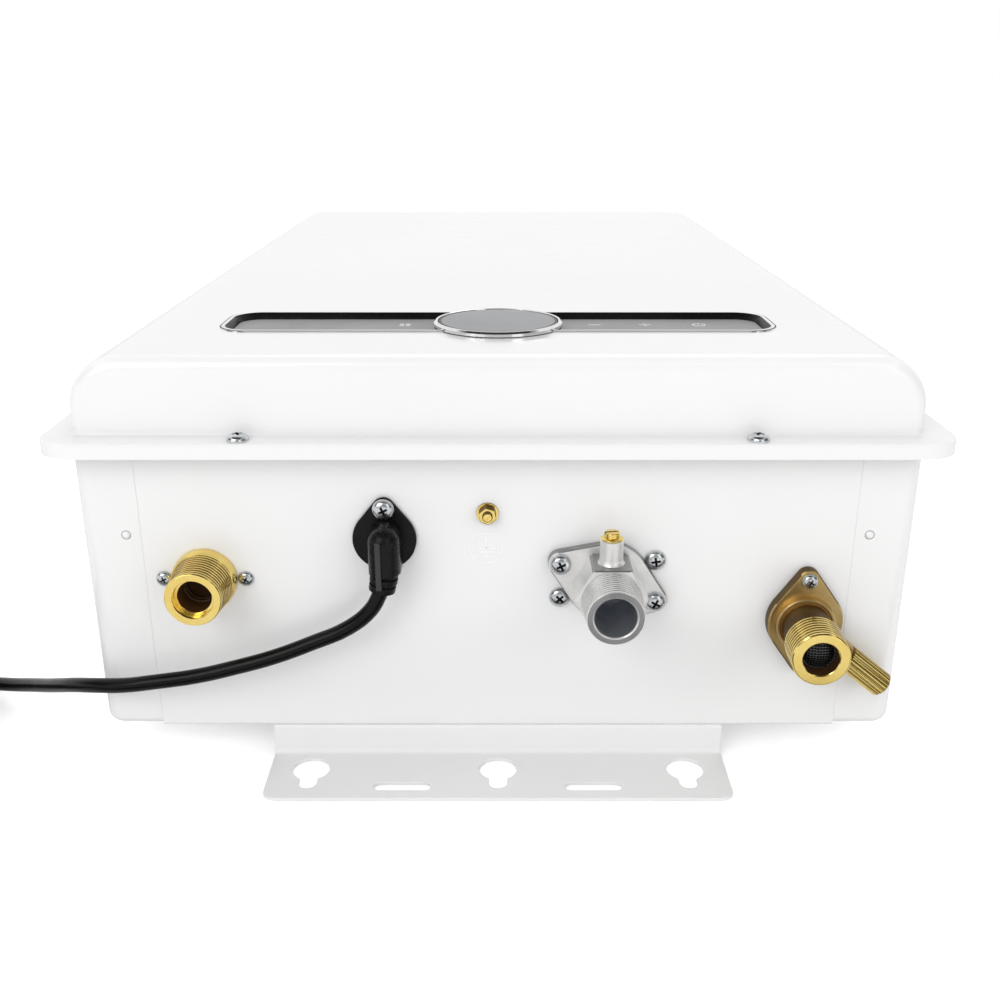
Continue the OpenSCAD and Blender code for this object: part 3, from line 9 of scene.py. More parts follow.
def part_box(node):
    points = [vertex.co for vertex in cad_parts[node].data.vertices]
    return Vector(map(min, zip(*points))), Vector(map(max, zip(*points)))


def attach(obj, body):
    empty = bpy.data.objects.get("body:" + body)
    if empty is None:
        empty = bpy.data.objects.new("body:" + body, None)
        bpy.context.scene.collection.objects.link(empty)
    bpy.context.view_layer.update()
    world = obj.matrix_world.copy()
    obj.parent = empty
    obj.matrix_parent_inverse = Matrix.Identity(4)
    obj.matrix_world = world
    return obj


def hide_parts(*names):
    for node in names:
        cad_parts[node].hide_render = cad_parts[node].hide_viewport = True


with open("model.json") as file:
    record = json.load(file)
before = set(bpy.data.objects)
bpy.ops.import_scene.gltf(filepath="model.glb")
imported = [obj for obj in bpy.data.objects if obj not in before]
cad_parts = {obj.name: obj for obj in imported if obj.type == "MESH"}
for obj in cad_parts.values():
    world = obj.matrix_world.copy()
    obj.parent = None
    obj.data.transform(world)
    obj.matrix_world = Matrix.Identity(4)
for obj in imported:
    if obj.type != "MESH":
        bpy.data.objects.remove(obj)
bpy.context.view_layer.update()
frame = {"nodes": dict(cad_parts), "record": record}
nodes = frame["nodes"]

# Lengths below are in millimetres; a piece becomes metres when it is finished.
mm = 0.001
fullTurn = 2 * math.pi
weld = 1e-4  # points nearer than this become one
touch = 0.01  # and nearer than this to a level, on it
mirrorEnds = Matrix.Scale(-1, 4, (0, 1, 0))  # from the connection end to the flue end
case = {"width": 322.2, "low": -257.5, "high": 257.5, "back": 14, "corner": 8, "bend": 4.5,
        "sheet": 1, "strip": 23.9, "seam": 0.16}


def newObject(name, data):
    made = bpy.data.objects.new(name, data)
    bpy.context.scene.collection.objects.link(made)
    return made


def meshOf(name, bm):
    mesh = bpy.data.meshes.new(name)
    bm.to_mesh(mesh)
    bm.free()
    return mesh


# Camera

viewer = {"back": 395.3, "height": 258.5, "pitch": 20.27, "lens": 39.96, "sensor": 36, "shift": 0.002}
lens = bpy.data.cameras.new("camera")
lens.lens = viewer["lens"]
lens.sensor_width = viewer["sensor"]
lens.shift_x = viewer["shift"]
eye = newObject("camera", lens)
eye.location = Vector((0, case["low"] - viewer["back"], viewer["height"])) * mm
eye.rotation_euler = (math.radians(90 - viewer["pitch"]), 0, 0)
bpy.context.scene.camera = eye
bpy.context.scene.view_settings.view_transform = "Standard"


# Shader expressions

class Wire:
    # One output of a shader node: arithmetic on wires adds Math nodes
    def __init__(self, tree, output):
        self.tree = tree
        self.output = output

    def make(self, kind, settings, sockets, result=0):
        node = self.tree.nodes.new(kind)
        for key, value in settings.items():
            if key == "stops":
                while len(node.color_ramp.elements) < len(value):
                    node.color_ramp.elements.new(0.5)
                for element, (place, colour) in zip(node.color_ramp.elements, value):
                    element.position = place
                    element.color = (*colour, 1)
            else:
                setattr(node, key, value)
        for key, value in sockets.items():
            if isinstance(value, Wire):
                self.tree.links.new(value.output, node.inputs[key])
            else:
                node.inputs[key].default_value = value
        return Wire(self.tree, node.outputs[result])

    def math(self, operation, first, second=0.0):
        return self.make("ShaderNodeMath", {"operation": operation}, {0: first, 1: second})

    def __add__(self, other):
        return self.math("ADD", self, other)

    def __sub__(self, other):
        return self.math("SUBTRACT", self, other)

    def __rsub__(self, other):
        return self.math("SUBTRACT", other, self)

    def __mul__(self, other):
        return self.math("MULTIPLY", self, other)

    __radd__ = __add__
    __rmul__ = __mul__

    def size(self):
        return self.math("ABSOLUTE", self)

    def most(self, other):
        return self.math("MAXIMUM", self, other)

    def axis(self, name):
        return self.make("ShaderNodeSeparateXYZ", {}, {0: self}, name)

    def noise(self, scale, detail=2.0, rough=0.5):
        return self.make("ShaderNodeTexNoise", {},
                         {"Vector": self, "Scale": scale, "Detail": detail, "Roughness": rough})

    def ramp(self, *stops):
        return self.make("ShaderNodeValToRGB", {"stops": stops}, {0: self})

    def bump(self, strength, distance):
        return self.make("ShaderNodeBump", {},
                         {"Height": self, "Strength": strength, "Distance": distance * mm})


def grey(value):
    return (value, value, value)


def makeFinish(name, paint, fixed=()):
    material = bpy.data.materials.new(name)
    material.use_nodes = True
    tree = material.node_tree
    shader = tree.nodes["Principled BSDF"]
    for key, value in dict(fixed).items():
        shader.inputs[key].default_value = value
    place = Wire(tree, tree.nodes.new("ShaderNodeTexCoord").outputs["Object"])
    for key, wire in paint(place).items():
        tree.links.new(wire.output, shader.inputs[key])
    material.diffuse_color = (*grey(0.6), 1)
    return material


# Finishes

# noise scales per metre, relief in millimetres
grains = {"cloud": 5, "skin": 420, "sheen": 60, "tarnish": 90, "batch": 40, "peel": 0.08, "pit": 0.05}


def clouded(noise, dark, light, edge=0.3):
    # between two colours, or two greys given as numbers
    dark, light = [tone if isinstance(tone, tuple) else grey(tone) for tone in (dark, light)]
    return noise.ramp((edge, dark), (1 - edge, light))


def enamel(low, high, rough, peel, fixed=()):
    def paint(place):
        return {"Base Color": clouded(place.noise(grains["cloud"], 3), low, high),
                "Roughness": rough + 0.1 * place.noise(grains["sheen"], 3),
                "Normal": place.noise(grains["skin"], 2).bump(peel, grains["peel"])}
    return paint, fixed


def metal(dark, light, rough=0.3, spread=0.2, grain=900, depth=0.1, share=1):
    def paint(place):
        fine = place.noise(grain, 3)
        return {"Base Color": clouded(place.noise(grains["tarnish"], 4, 0.6), dark, light),
                "Roughness": rough + spread * fine, "Normal": fine.bump(depth, grains["pit"])}
    return paint, {"Metallic": share}


def moulded(dark, light, rough, spread, grain, depth, fixed=()):
    def paint(place):
        fine = place.noise(grain, 2)
        return {"Base Color": clouded(place.noise(grains["batch"], 3), dark, light, 0.35),
                "Roughness": rough + spread * fine, "Normal": fine.bump(depth, grains["pit"])}
    return paint, fixed


recipes = {
    "white_enamel": enamel(0.8, 0.83, 0.14, 0.05, {"Coat Weight": 0.25, "Coat Roughness": 0.08}),
    "bracket_paint": enamel(0.8, 0.84, 0.32, 0.12),
    "zinc_screw": metal((0.5, 0.52, 0.54), (0.72, 0.74, 0.75), 0.14),
    "seal_foam": moulded(0.02, 0.05, 0.7, 0.3, 1500, 0.8),
    "chrome_trim": metal(0.72, 0.8, 0.04, 0.06, 700, 0.02),
    "dark_fascia": moulded(0.26, 0.3, 0.42, 0.08, 800, 0.02, {"Specular IOR Level": 0.3}),
    "display_glass": moulded((0.12, 0.125, 0.135), (0.15, 0.155, 0.165), 0.2, 0.06, 700, 0.02),
    "dark_plastic": moulded(0.016, 0.03, 0.42, 0.2, 1300, 0.35),
    "circuit_board": moulded((0.01, 0.07, 0.035), (0.02, 0.11, 0.05), 0.3, 0.2, 500, 0.1,
                             {"Coat Weight": 0.3}),
    "turned_brass": metal((0.82, 0.6, 0.17), (0.9, 0.71, 0.25), 0.12, 0.1, 1100, 0.03),
    "cast_bronze": metal((0.47, 0.32, 0.125), (0.62, 0.45, 0.2), 0.28, 0.16, 600, 0.22),
    "strainer_mesh": metal(0.07, 0.16),
    "valve_rubber": moulded(0.01, 0.02, 0.55, 0.2, 1100, 0.3),
    "cast_aluminium": metal((0.74, 0.735, 0.72), (0.86, 0.855, 0.84), 0.28, 0.16, 700, 0.25, 0.7),
    "gland_plastic": moulded(0.004, 0.008, 0.2, 0.16, 700, 0.12, {"Specular IOR Level": 0.13}),
    "cord_sheath": moulded(0.003, 0.006, 0.16, 0.12, 900, 0.1, {"Specular IOR Level": 0.14}),
    "plug_brass": metal((0.6, 0.45, 0.16), (0.8, 0.64, 0.3), 0.14, 0.16, 900, 0.08),
    "galvanised_steel": metal(0.4, 0.62, 0.3, 0.2, 160, 0.08),
    "copper": metal((0.5, 0.2, 0.1), (0.72, 0.36, 0.2), 0.26, 0.2, 300, 0.12),
    "motor_black": moulded(0.012, 0.03, 0.38, 0.2, 800, 0.2),
    "pale_plastic": moulded((0.6, 0.57, 0.46), (0.7, 0.67, 0.56), 0.4, 0.15, 900, 0.15),
    "ceramic": moulded((0.66, 0.62, 0.52), (0.78, 0.75, 0.66), 0.2, 0.1, 300, 0.05, {"Coat Weight": 0.5}),
    # painted shade for the bores of the water fittings, where little light gets in
    "painted_bore_shade": moulded((0.05, 0.021, 0.006), (0.095, 0.042, 0.012), 0.45, 0.2, 500, 0.2,
                         {"Specular IOR Level": 0.25}),
    # painted shade in the thread grooves and knurl valleys of the brass parts
    "painted_shade_brass": metal((0.2, 0.115, 0.022), (0.29, 0.17, 0.036)),
    # painted shade on bronze and brass: neck under the cold thread, flange and nut sides, washer rim, stud
    # thread, test screw slot
    "painted_shade_bronze": metal((0.1, 0.065, 0.03), (0.17, 0.115, 0.05), 0.4, 0.2, 600, 0.2),
    # painted highlight: a lighter white for the raised earth mark, as if it caught the light
    "raised_paint": enamel(0.88, 0.91, 0.2, 0.05),
    "cut_face": metal(0.25, 0.36, depth=0.2),
    # painted shade in grey: rivet rims, gas thread grooves, gas flange sides and the hex's upper side
    "painted_shade_grey": metal(0.3, 0.4),
    # painted shade in blue-grey for the gas inlet's bore
    "painted_shade_blue_grey": metal((0.36, 0.38, 0.41), (0.46, 0.48, 0.52), grain=500, share=0.75),
    # painted shade for the screws' cross recesses
    "painted_recess_shade": metal(0.02, 0.05, 0.4),
    "icon_print": moulded(0.62, 0.7, 0.4, 0.1, 600, 0.05),
}
finishes = {name: makeFinish(name, *recipe) for name, recipe in recipes.items()}
for entry in frame["record"]["subparts"]:
    shown = nodes[entry["node"]].data
    shown.materials.clear()
    shown.materials.append(finishes[entry["material_slot"]])
print("finishes:", len(finishes))


# Mesh helpers

def turn(x=0, y=0, z=0):
    return (Matrix.Rotation(math.radians(z), 4, "Z") @ Matrix.Rotation(math.radians(y), 4, "Y")
            @ Matrix.Rotation(math.radians(x), 4, "X"))


def move(x=0, y=0, z=0):
    return Matrix.Translation((x, y, z))


def onEnd(x, z, end=-1):
    # local x runs across, y up and z out of the end of the case
    out = move(x, case["low"], z) @ turn(x=90)
    return out if end < 0 else mirrorEnds @ out


def seat(size):
    return onEnd(size["across"], size["level"])


def outward(bm):
    bmesh.ops.recalc_face_normals(bm, faces=bm.faces)
    return bm


def newVerts(grown):
    return [g for g in grown["geom"] if isinstance(g, bmesh.types.BMVert)]


def placed(bm, matrix):
    bmesh.ops.transform(bm, matrix=matrix, verts=bm.verts)
    if matrix.determinant() < 0:
        bmesh.ops.reverse_faces(bm, faces=bm.faces)
    return bm


def joined(*parts):
    whole = bmesh.new()
    for part in parts:
        mesh = meshOf("part", part)
        whole.from_mesh(mesh)
        bpy.data.meshes.remove(mesh)
    return whole


def looseObject(bm):
    return newObject("loose", meshOf("loose", bm))


def settled(loose, others=()):
    # the loose object's mesh with its modifiers applied, as a bmesh
    graph = bpy.context.evaluated_depsgraph_get()
    mesh = bpy.data.meshes.new_from_object(loose.evaluated_get(graph))
    bm = bmesh.new()
    bm.from_mesh(mesh)
    for spare in (loose, *others):
        data = spare.data
        bpy.data.objects.remove(spare)
        bpy.data.meshes.remove(data)
    bpy.data.meshes.remove(mesh)
    return bm


def carved(bm, *tools):
    body = looseObject(bm)
    cutters = [looseObject(tool) for tool in tools]
    for cutter in cutters:
        cut = body.modifiers.new("cut", "BOOLEAN")
        cut.operation = "DIFFERENCE"
        cut.solver = "EXACT"
        cut.use_self = True
        cut.object = cutter
    return settled(body, cutters)


def thickened(bm, thickness):
    sheet = looseObject(bm)
    wall = sheet.modifiers.new("wall", "SOLIDIFY")
    wall.thickness = thickness
    wall.offset = -1
    wall.use_even_offset = True
    return settled(sheet)


def facingOut(bm, direction):
    # open sheet with its largest face turned to the given side
    outward(bm)
    if max(bm.faces, key=lambda f: f.calc_area()).normal.dot(Vector(direction)) < 0:
        bmesh.ops.reverse_faces(bm, faces=bm.faces)
    return bm


def rounded(bm, geom, radius, steps, affect):
    bmesh.ops.bevel(bm, geom=geom, offset=radius, offset_type="OFFSET", segments=steps, profile=0.5,
                    affect=affect, material=-1, clamp_overlap=affect == "EDGES")
    return bm


def softened(bm, radius, segments=2, edges=None, angle=40):
    if edges is None:
        limit = math.radians(angle)
        edges = [e for e in bm.edges if e.is_manifold and e.calc_face_angle(0) > limit]
    return rounded(bm, edges, radius, segments, "EDGES")


def eased(points, radius, steps=3, closed=False):
    # the same profile with its corners rounded, each at most 0.45 of its sides
    out = []
    count = len(points)
    share = 0.45
    for i, here in enumerate(points):
        if not closed and i in (0, count - 1):
            out.append(here)
            continue
        corner = Vector(here)
        before = Vector(points[i - 1]) - corner
        after = Vector(points[(i + 1) % count]) - corner
        reach = min(radius, share * before.length, share * after.length)
        first = corner + before.normalized() * reach
        last = corner + after.normalized() * reach
        for k in range(steps + 1):
            t = k / steps
            out.append(tuple((1 - t) ** 2 * first + 2 * t * (1 - t) * corner + t * t * last))
    return out


def lathe(profile, steps=64, closed=False):
    bm = bmesh.new()
    line = [bm.verts.new((r, 0, z)) for r, z in profile]
    links = [bm.edges.new(pair) for pair in zip(line, line[1:])]
    if closed:
        links.append(bm.edges.new((line[-1], line[0])))
    bmesh.ops.spin(bm, geom=line + links, cent=(0, 0, 0), axis=(0, 0, 1), angle=fullTurn, steps=steps,
                   use_merge=True)
    bmesh.ops.remove_doubles(bm, verts=bm.verts, dist=weld)
    return outward(bm)


def rodLine(radius, low, high, bore=0):
    return [(bore, low), (radius, low), (radius, high), (bore, high)]


def raised(bm, height):
    grown = bmesh.ops.extrude_face_region(bm, geom=bm.faces[:])
    bmesh.ops.translate(bm, vec=(0, 0, height), verts=newVerts(grown))
    return outward(bm)


def flatSheet(width, length):
    bm = bmesh.new()
    bmesh.ops.create_grid(bm, x_segments=1, y_segments=1, size=0.5)
    bmesh.ops.scale(bm, vec=(width, length, 1), verts=bm.verts)
    return bm


def roundedFlat(width, length, radius, steps=8):
    bm = flatSheet(width, length)
    return rounded(bm, bm.verts[:], radius, steps, "VERTICES")


def roundedPlate(width, length, radius, height, steps=8):
    return raised(roundedFlat(width, length, radius, steps), height)


def block(width, length, height):
    bm = bmesh.new()
    bmesh.ops.create_cube(bm, size=1)
    return placed(bm, move(z=height / 2) @ Matrix.Diagonal((width, length, height, 1)))


def lobedPlate(circles, height, steps=64):
    # plate whose outline runs round all the circles: x, y and radius of each
    bm = bmesh.new()
    for x, y, radius in circles:
        for z in (0, height):
            bmesh.ops.create_circle(bm, cap_ends=False, radius=radius, segments=steps, matrix=move(x, y, z))
    hull = bmesh.ops.convex_hull(bm, input=bm.verts)
    spare = [v for v in hull["geom_interior"] if isinstance(v, bmesh.types.BMVert)]
    bmesh.ops.delete(bm, geom=spare, context="VERTS")
    bmesh.ops.delete(bm, geom=[e for e in bm.edges if not e.link_faces], context="EDGES")
    bmesh.ops.dissolve_limit(bm, angle_limit=math.radians(0.5), verts=bm.verts, edges=bm.edges)
    return outward(bm)


def prism(sides, flats, height, turned=0.0):
    bm = bmesh.new()
    bmesh.ops.create_circle(bm, cap_ends=True, radius=flats / 2 / math.cos(math.pi / sides), segments=sides)
    return placed(raised(bm, height), turn(z=turned))


def spreadLoop(bm, edges, half, radius, grow, newRadius, drop):
    # carries a rounded rectangular rim on to a larger or smaller one, lower by drop
    grown = bmesh.ops.extrude_edge_only(bm, edges=edges)
    verts = newVerts(grown)
    for v in verts:
        for k in (0, 1):
            flat = half[k] - radius
            away = max(abs(v.co[k]) - flat, 0) * newRadius / radius
            along = min(abs(v.co[k]), flat) * (half[k] + grow - newRadius) / flat
            v.co[k] = math.copysign(along + away, v.co[k])
        v.co.z -= drop
    fresh = set(verts)
    return [e for e in bm.edges if e.verts[0] in fresh and e.verts[1] in fresh]


def flanged(bm, half, radius, steps):
    # the open rim carried on by steps of growth, drop and, where it doesn't just grow, corner radius
    edges = [e for e in bm.edges if e.is_boundary]
    for grow, drop, fixed in steps:
        newRadius = fixed or radius + grow
        edges = spreadLoop(bm, edges, half, radius, grow, newRadius, drop)
        half = [h + grow for h in half]
        radius = newRadius
    return bm


def band(width, length, radius, profile, steps=8):
    # closed band round a rounded rectangle: profile points are outward growth and height
    bm = roundedFlat(width, length, radius, steps)
    bmesh.ops.delete(bm, geom=bm.faces[:], context="FACES_ONLY")
    bmesh.ops.translate(bm, vec=(0, 0, profile[0][1]), verts=bm.verts)
    edges = bm.edges[:]
    now, level = profile[0]
    for grow, height in [*profile[1:], profile[0]]:
        half = (width / 2 + now, length / 2 + now)
        edges = spreadLoop(bm, edges, half, radius + now, grow - now, radius + grow, level - height)
        now, level = grow, height
    bmesh.ops.remove_doubles(bm, verts=bm.verts, dist=weld)
    return outward(bm)


def painted(bm, index, chosen=None):
    for face in bm.faces:
        if chosen is None or chosen(face.calc_center_median()):
            face.material_index = index
    return bm


def sidesPainted(bm, index, upright=0.3):
    for face in bm.faces:
        if abs(face.normal.z) < upright:
            face.material_index = index
    return bm


def finished(bm, name, slots, replaced=(), sharp=38, body="heater"):
    # the piece in metres, on its body, in place of its solids; the first slot is its record slot
    slots = [slots] if isinstance(slots, str) else slots
    bmesh.ops.scale(bm, vec=(mm, mm, mm), verts=bm.verts)
    mesh = meshOf(name, bm)
    for slot in slots:
        mesh.materials.append(finishes[slot])
    mesh.shade_smooth()
    mesh.set_sharp_from_angle(angle=math.radians(sharp))
    piece = newObject(name, mesh)
    even = piece.modifiers.new("normals", "WEIGHTED_NORMAL")
    even.keep_sharp = True
    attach(piece, body)
    if replaced:
        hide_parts(*replaced)
    return piece


# Mains cord: the route and coil of its solids, apart from the first points, which meet the gland here.
# A point is across, out from the end panel and up

cord = {"diameter": 6, "coilMiddle": (-264, 8, 4.2), "startRadius": 44, "step": 6.7, "turns": 5.25,
        "perTurn": 24, "leadOut": 40, "leadPoints": 4, "startAngle": 90, "sides": 5, "smooth": 4}
cordRoute = [
    (-43.4, -11.4, 82.5), (-44.9, -11.4, 78.8), (-48.6, -11.4, 72), (-57.6, -11.2, 64.2), (-72, -11, 57.5),
    (-87, -11, 51.5), (-102, -11, 47), (-118, -11, 43), (-134, -11, 40.5), (-148, -9.5, 38),
    (-160, -6, 36), (-171, 0.5, 32.5), (-181, 9, 27.5), (-191, 18.5, 22), (-202, 28.5, 16.5),
    (-214, 37.5, 11.5), (-228, 45.5, 7.5), (-242, 50.5, 5), (-252, 52, 4.2), (-258, 52, 4.2),
]


def coilPoint(angle):
    whole = 360 * cord["turns"]
    share = min(max((angle - whole / 2) / 180 + 0.5, 0), 1)
    radius = cord["startRadius"] - cord["step"] * min(angle, whole - angle) / 360
    at = math.radians(cord["startAngle"] + angle)
    rise = cord["step"] * share * share * (3 - 2 * share)
    return Vector(cord["coilMiddle"]) + Vector((radius * math.cos(at), radius * math.sin(at), rise))


def cordPoints():
    count = int(cord["perTurn"] * cord["turns"])
    loops = [coilPoint(360 * i / cord["perTurn"]) for i in range(count + 1)]
    last = loops[-1]
    lead = cord["leadOut"] / cord["leadPoints"]
    tail = [last - Vector((0, lead * i, 0)) for i in range(1, cord["leadPoints"] + 1)]
    route = [Vector(p) for p in cordRoute] + loops + tail
    return [(p + Vector((0, case["low"], 0))) * mm for p in route]


cordLine = cordPoints()
sheath = bpy.data.curves.new("mains_cord", "CURVE")
sheath.dimensions = "3D"
sheath.bevel_depth = cord["diameter"] / 2 * mm
sheath.bevel_resolution = cord["sides"]
sheath.resolution_u = cord["smooth"]
sheath.use_fill_caps = True
spline = sheath.splines.new("BEZIER")
spline.bezier_points.add(len(cordLine) - 1)
for knot, point in zip(spline.bezier_points, cordLine):
    knot.co = point
    knot.handle_left_type = knot.handle_right_type = "AUTO"
sheath.materials.append(finishes["cord_sheath"])
mainsCord = newObject("mains_cord", sheath)
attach(mainsCord, "heater")
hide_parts("power_cord", "cord_coil")
cordLength = sum((b - a).length for a, b in zip(cordLine, cordLine[1:]))
print("cord:", round(cordLength, 3), "m")

moulding = {"width": 27, "length": 24, "neck": 16, "round": 5, "edge": 1.6}
contact = {"gap": 12.7, "wide": 6.3, "thick": 1.5, "long": 17, "up": 4, "edge": 0.5, "pinDiameter": 4.8,
           "pinDrop": 11.9, "pinLong": 20, "pinTip": 1.6}
rib = {"count": 4, "from": 1.5, "pitch": 3.4, "radius": 5, "widen": 0.45, "proud": 0.9, "long": 2,
       "last": 6.4, "into": 2, "edge": 0.5}
grip = {"proud": 0.9, "short": 8, "long": 12, "from": 6, "edge": 0.3}
plugStart = cordLine[-1] / mm
plugPlace = Matrix.Translation(plugStart) @ turn(x=90)
plugHigh = 2 * plugStart.z
neckTop = moulding["neck"]
neckLine = [(0, 0), (rib["radius"], 0)]
for ring in range(rib["count"]):
    base = rib["from"] + ring * rib["pitch"]
    root = rib["radius"] + ring * rib["widen"]
    end, crest = base + rib["long"], root + rib["proud"]
    neckLine += [(root, base), (crest, base), (crest, end), (root, end)]
neckEnd = neckTop + rib["into"]
neckLine += [(rib["last"], neckTop), (rib["last"], neckEnd), (0, neckEnd)]
plugHead = roundedPlate(moulding["width"], plugHigh, moulding["round"], moulding["length"])
softened(placed(plugHead, move(z=neckTop)), moulding["edge"], 3)
grips = []
for side in (-1, 1):
    pad = softened(block(grip["proud"], plugHigh - grip["short"], grip["long"]), grip["edge"])
    grips.append(placed(pad, move(side * (moulding["width"] / 2), 0, neckTop + grip["from"])))
plugNeck = lathe(eased(neckLine, rib["edge"]), 40)
plug = finished(placed(joined(plugNeck, plugHead, *grips), plugPlace), "plug_shell", "gland_plastic",
                ["plug_body"])
blades = []
for side in (-1, 1):
    blade = softened(block(contact["thick"], contact["wide"], contact["long"]), contact["edge"])
    blades.append(placed(blade, move(side * contact["gap"] / 2, contact["up"], 0)))
pinLine = rodLine(contact["pinDiameter"] / 2, 0, contact["pinLong"])
blades.append(placed(lathe(eased(pinLine, contact["pinTip"], 4), 32),
                     move(y=contact["up"] - contact["pinDrop"])))
pins = finished(placed(joined(*blades), plugPlace @ move(z=neckTop + moulding["length"])), "plug_contacts",
                "plug_brass", ["plug_pins"])

tieSizes = {"thick": 1, "half": 6, "round": 3, "buckle": (9, 7, 2.2), "edge": 0.6}
tieLow, tieHigh = [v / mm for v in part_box("cord_tie")]
tieSpan = tieHigh - tieLow
tieMiddle = (tieLow + tieHigh) / 2
tieThick, tieHalf = tieSizes["thick"], tieSizes["half"]
strap = band(tieSpan.y - 2 * tieThick, tieSpan.z - 2 * tieThick, tieSizes["round"],
             rodLine(tieThick, -tieHalf, tieHalf), 5)
strap = placed(strap, Matrix.Translation(tieMiddle) @ turn(x=90, z=90))
buckle = placed(softened(block(*tieSizes["buckle"]), tieSizes["edge"]),
                move(tieMiddle.x, tieMiddle.y, tieHigh.z - tieThick))
tie = finished(joined(strap, buckle), "cord_strap", "gland_plastic", ["cord_tie"])
print("plug and tie made")


# Room: pale floor, soft light

room = {"floor": 0.9, "rough": 0.9, "glow": 0.45, "under": 0.0006, "reach": 6.0, "ambient": 0.74,
        "aim": (0, -0.1, 0.08), "fadeFrom": 0.6}


def floorPaint(place):
    # brighter to the camera alone
    return {"Emission Strength": room["glow"] * place.make("ShaderNodeLightPath", {}, {}, "Is Camera Ray")}


def screenPaint(screen, spread):
    def paint(place):
        away = [((place.axis("XYZ"[k]) - screen["at"][k]) * (1 / spread[k])).size()
                for k in range(3) if spread[k] > mm]
        return {"Alpha": away[0].most(away[1]).ramp((room["fadeFrom"], grey(1)), (1, grey(0)))}
    return paint


floor = newObject("floor", meshOf("floor", flatSheet(2 * room["reach"], 2 * room["reach"])))
floor.location.z = -room["under"]
floorLook = {"Base Color": (*grey(room["floor"]), 1), "Roughness": room["rough"], "Specular IOR Level": 0,
             "Emission Color": (1, 1, 1, 1)}
floor.data.materials.append(makeFinish("floor_paint", floorPaint, floorLook))

world = bpy.data.worlds.new("room")
world.use_nodes = True
bpy.context.scene.world = world
sky = world.node_tree.nodes["Background"]
sky.inputs["Color"].default_value = (1, 1, 1, 1)
path = world.node_tree.nodes.new("ShaderNodeLightPath")
rays = [Wire(world.node_tree, path.outputs[name]) for name in
        ("Is Camera Ray", "Is Glossy Ray", "Is Transmission Ray")]
seen = rays[0].most(rays[1]).most(rays[2])
world.node_tree.links.new((room["ambient"] + (1 - room["ambient"]) * seen).output, sky.inputs["Strength"])

lamps = {
    "key": {"at": (-1.3, -2.2, 1.5), "size": 1.6, "power": 24},
    "fill": {"at": (1.7, -2.1, 1.0), "size": 1.6, "power": 11},
    "top": {"at": (0.3, 0.9, 2.4), "size": 2.0, "power": 13},
}
for name, lamp in lamps.items():
    light = bpy.data.lights.new(name, "AREA")
    light.shape = "SQUARE"
    light.size = lamp["size"]
    light.energy = lamp["power"]
    source = newObject(name, light)
    source.location = lamp["at"]
    source.rotation_euler = (Vector(room["aim"]) - source.location).to_track_quat("-Z", "Y").to_euler()

# Dark screens that only reflections see, fading out at their edges, so the metals have something to mirror
screens = {
    "ceiling": {"at": (0, -0.9, 2.2), "half": (2.0, 1.4), "turned": (0, 0), "tone": 0.03},
    "front": {"at": (0, -2.75, 1.2), "half": (3.0, 1.2), "turned": (90, 0), "tone": 0.25},
    "right": {"at": (1.4, -0.8, 0.75), "half": (0.7, 1.1), "turned": (0, 90), "tone": 0.03},
    "left": {"at": (-1.6, -0.5, 0.9), "half": (0.55, 0.8), "turned": (0, 90), "tone": 0.03},
    "ground": {"at": (0, -0.34, 0.0004), "half": (0.45, 0.05), "turned": (0, 0), "tone": 0.05},
}
for name, screen in screens.items():
    cloth = flatSheet(*[2 * half for half in screen["half"]])
    placed(cloth, move(*screen["at"]) @ turn(*screen["turned"]))
    spread = [max(abs(v.co[k] - screen["at"][k]) for v in cloth.verts) for k in range(3)]
    hung = newObject(name, meshOf(name, cloth))
    screenLook = {"Base Color": (*grey(screen["tone"]), 1), "Roughness": 1}
    hung.data.materials.append(makeFinish(name + "_screen", screenPaint(screen, spread), screenLook))
    for kind in ("camera", "diffuse", "shadow", "transmission", "volume_scatter"):
        setattr(hung, "visible_" + kind, False)
print("room lit")


# Rear case, end panels and brackets

sheets = {"rimWide": 7.8, "rimUnder": 134, "rimBend": ((0.3, 0.9), (1.2, 0.6)), "foldRound": 1.5,
          "foot": 11, "panelFoot": 14, "edge": 0.05, "seamDepth": 0.14}
opening = {"slack": 0.4, "under": 2, "high": 140}  # in the case, for each end panel
bead = {"wide": 0.6, "deep": 0.8, "high": 114, "from": 17}  # paint that closes a seam
airSlots = {"count": 11, "pitch": 9, "wide": 3.6, "high": 56, "deep": 10, "middle": -95, "level": 75.5}
caseLength = case["high"] - case["low"]
panelHalf = case["width"] / 2 - case["strip"] - case["seam"]


def caseSheet():
    wall = sheets["rimUnder"] - sheets["foldRound"]
    bm = roundedPlate(case["width"], caseLength, case["corner"], wall - case["back"])
    placed(bm, move(z=case["back"]))
    bmesh.ops.delete(bm, geom=[f for f in bm.faces if f.normal.z > 0.9], context="FACES")
    low = [e for e in bm.edges if all(v.co.z < case["back"] + touch for v in e.verts)]
    softened(bm, case["bend"], 5, low)
    flat = sheets["rimWide"] - sum(grow for grow, rise in sheets["rimBend"])
    steps = [(grow, -rise, 0) for grow, rise in (*sheets["rimBend"], (flat, 0))]
    flanged(bm, [case["width"] / 2, caseLength / 2], case["corner"], steps)
    return thickened(facingOut(bm, (0, 0, -1)), case["sheet"])


def slotCutters():
    cuts = []
    for end in (case["low"], case["high"]):
        gap = block(2 * (panelHalf + case["seam"]), 2 * sheets["foot"] + opening["slack"], opening["high"])
        cuts.append(placed(gap, move(0, end, case["back"] - opening["under"])))
    wide, deep = airSlots["wide"], airSlots["deep"]
    for side in (-1, 1):
        for i in range(airSlots["count"]):
            at = airSlots["middle"] + (i - (airSlots["count"] - 1) / 2) * airSlots["pitch"]
            cut = roundedPlate(wide, airSlots["high"], wide / 2 - 0.1, deep, 4)
            across = side * case["width"] / 2 - deep / 2
            cuts.append(placed(cut, move(across, at, airSlots["level"]) @ turn(x=90, z=90)))
    return joined(*cuts)


finished(carved(caseSheet(), slotCutters()), "rear_case_shell", "white_enamel", ["rear_case"])


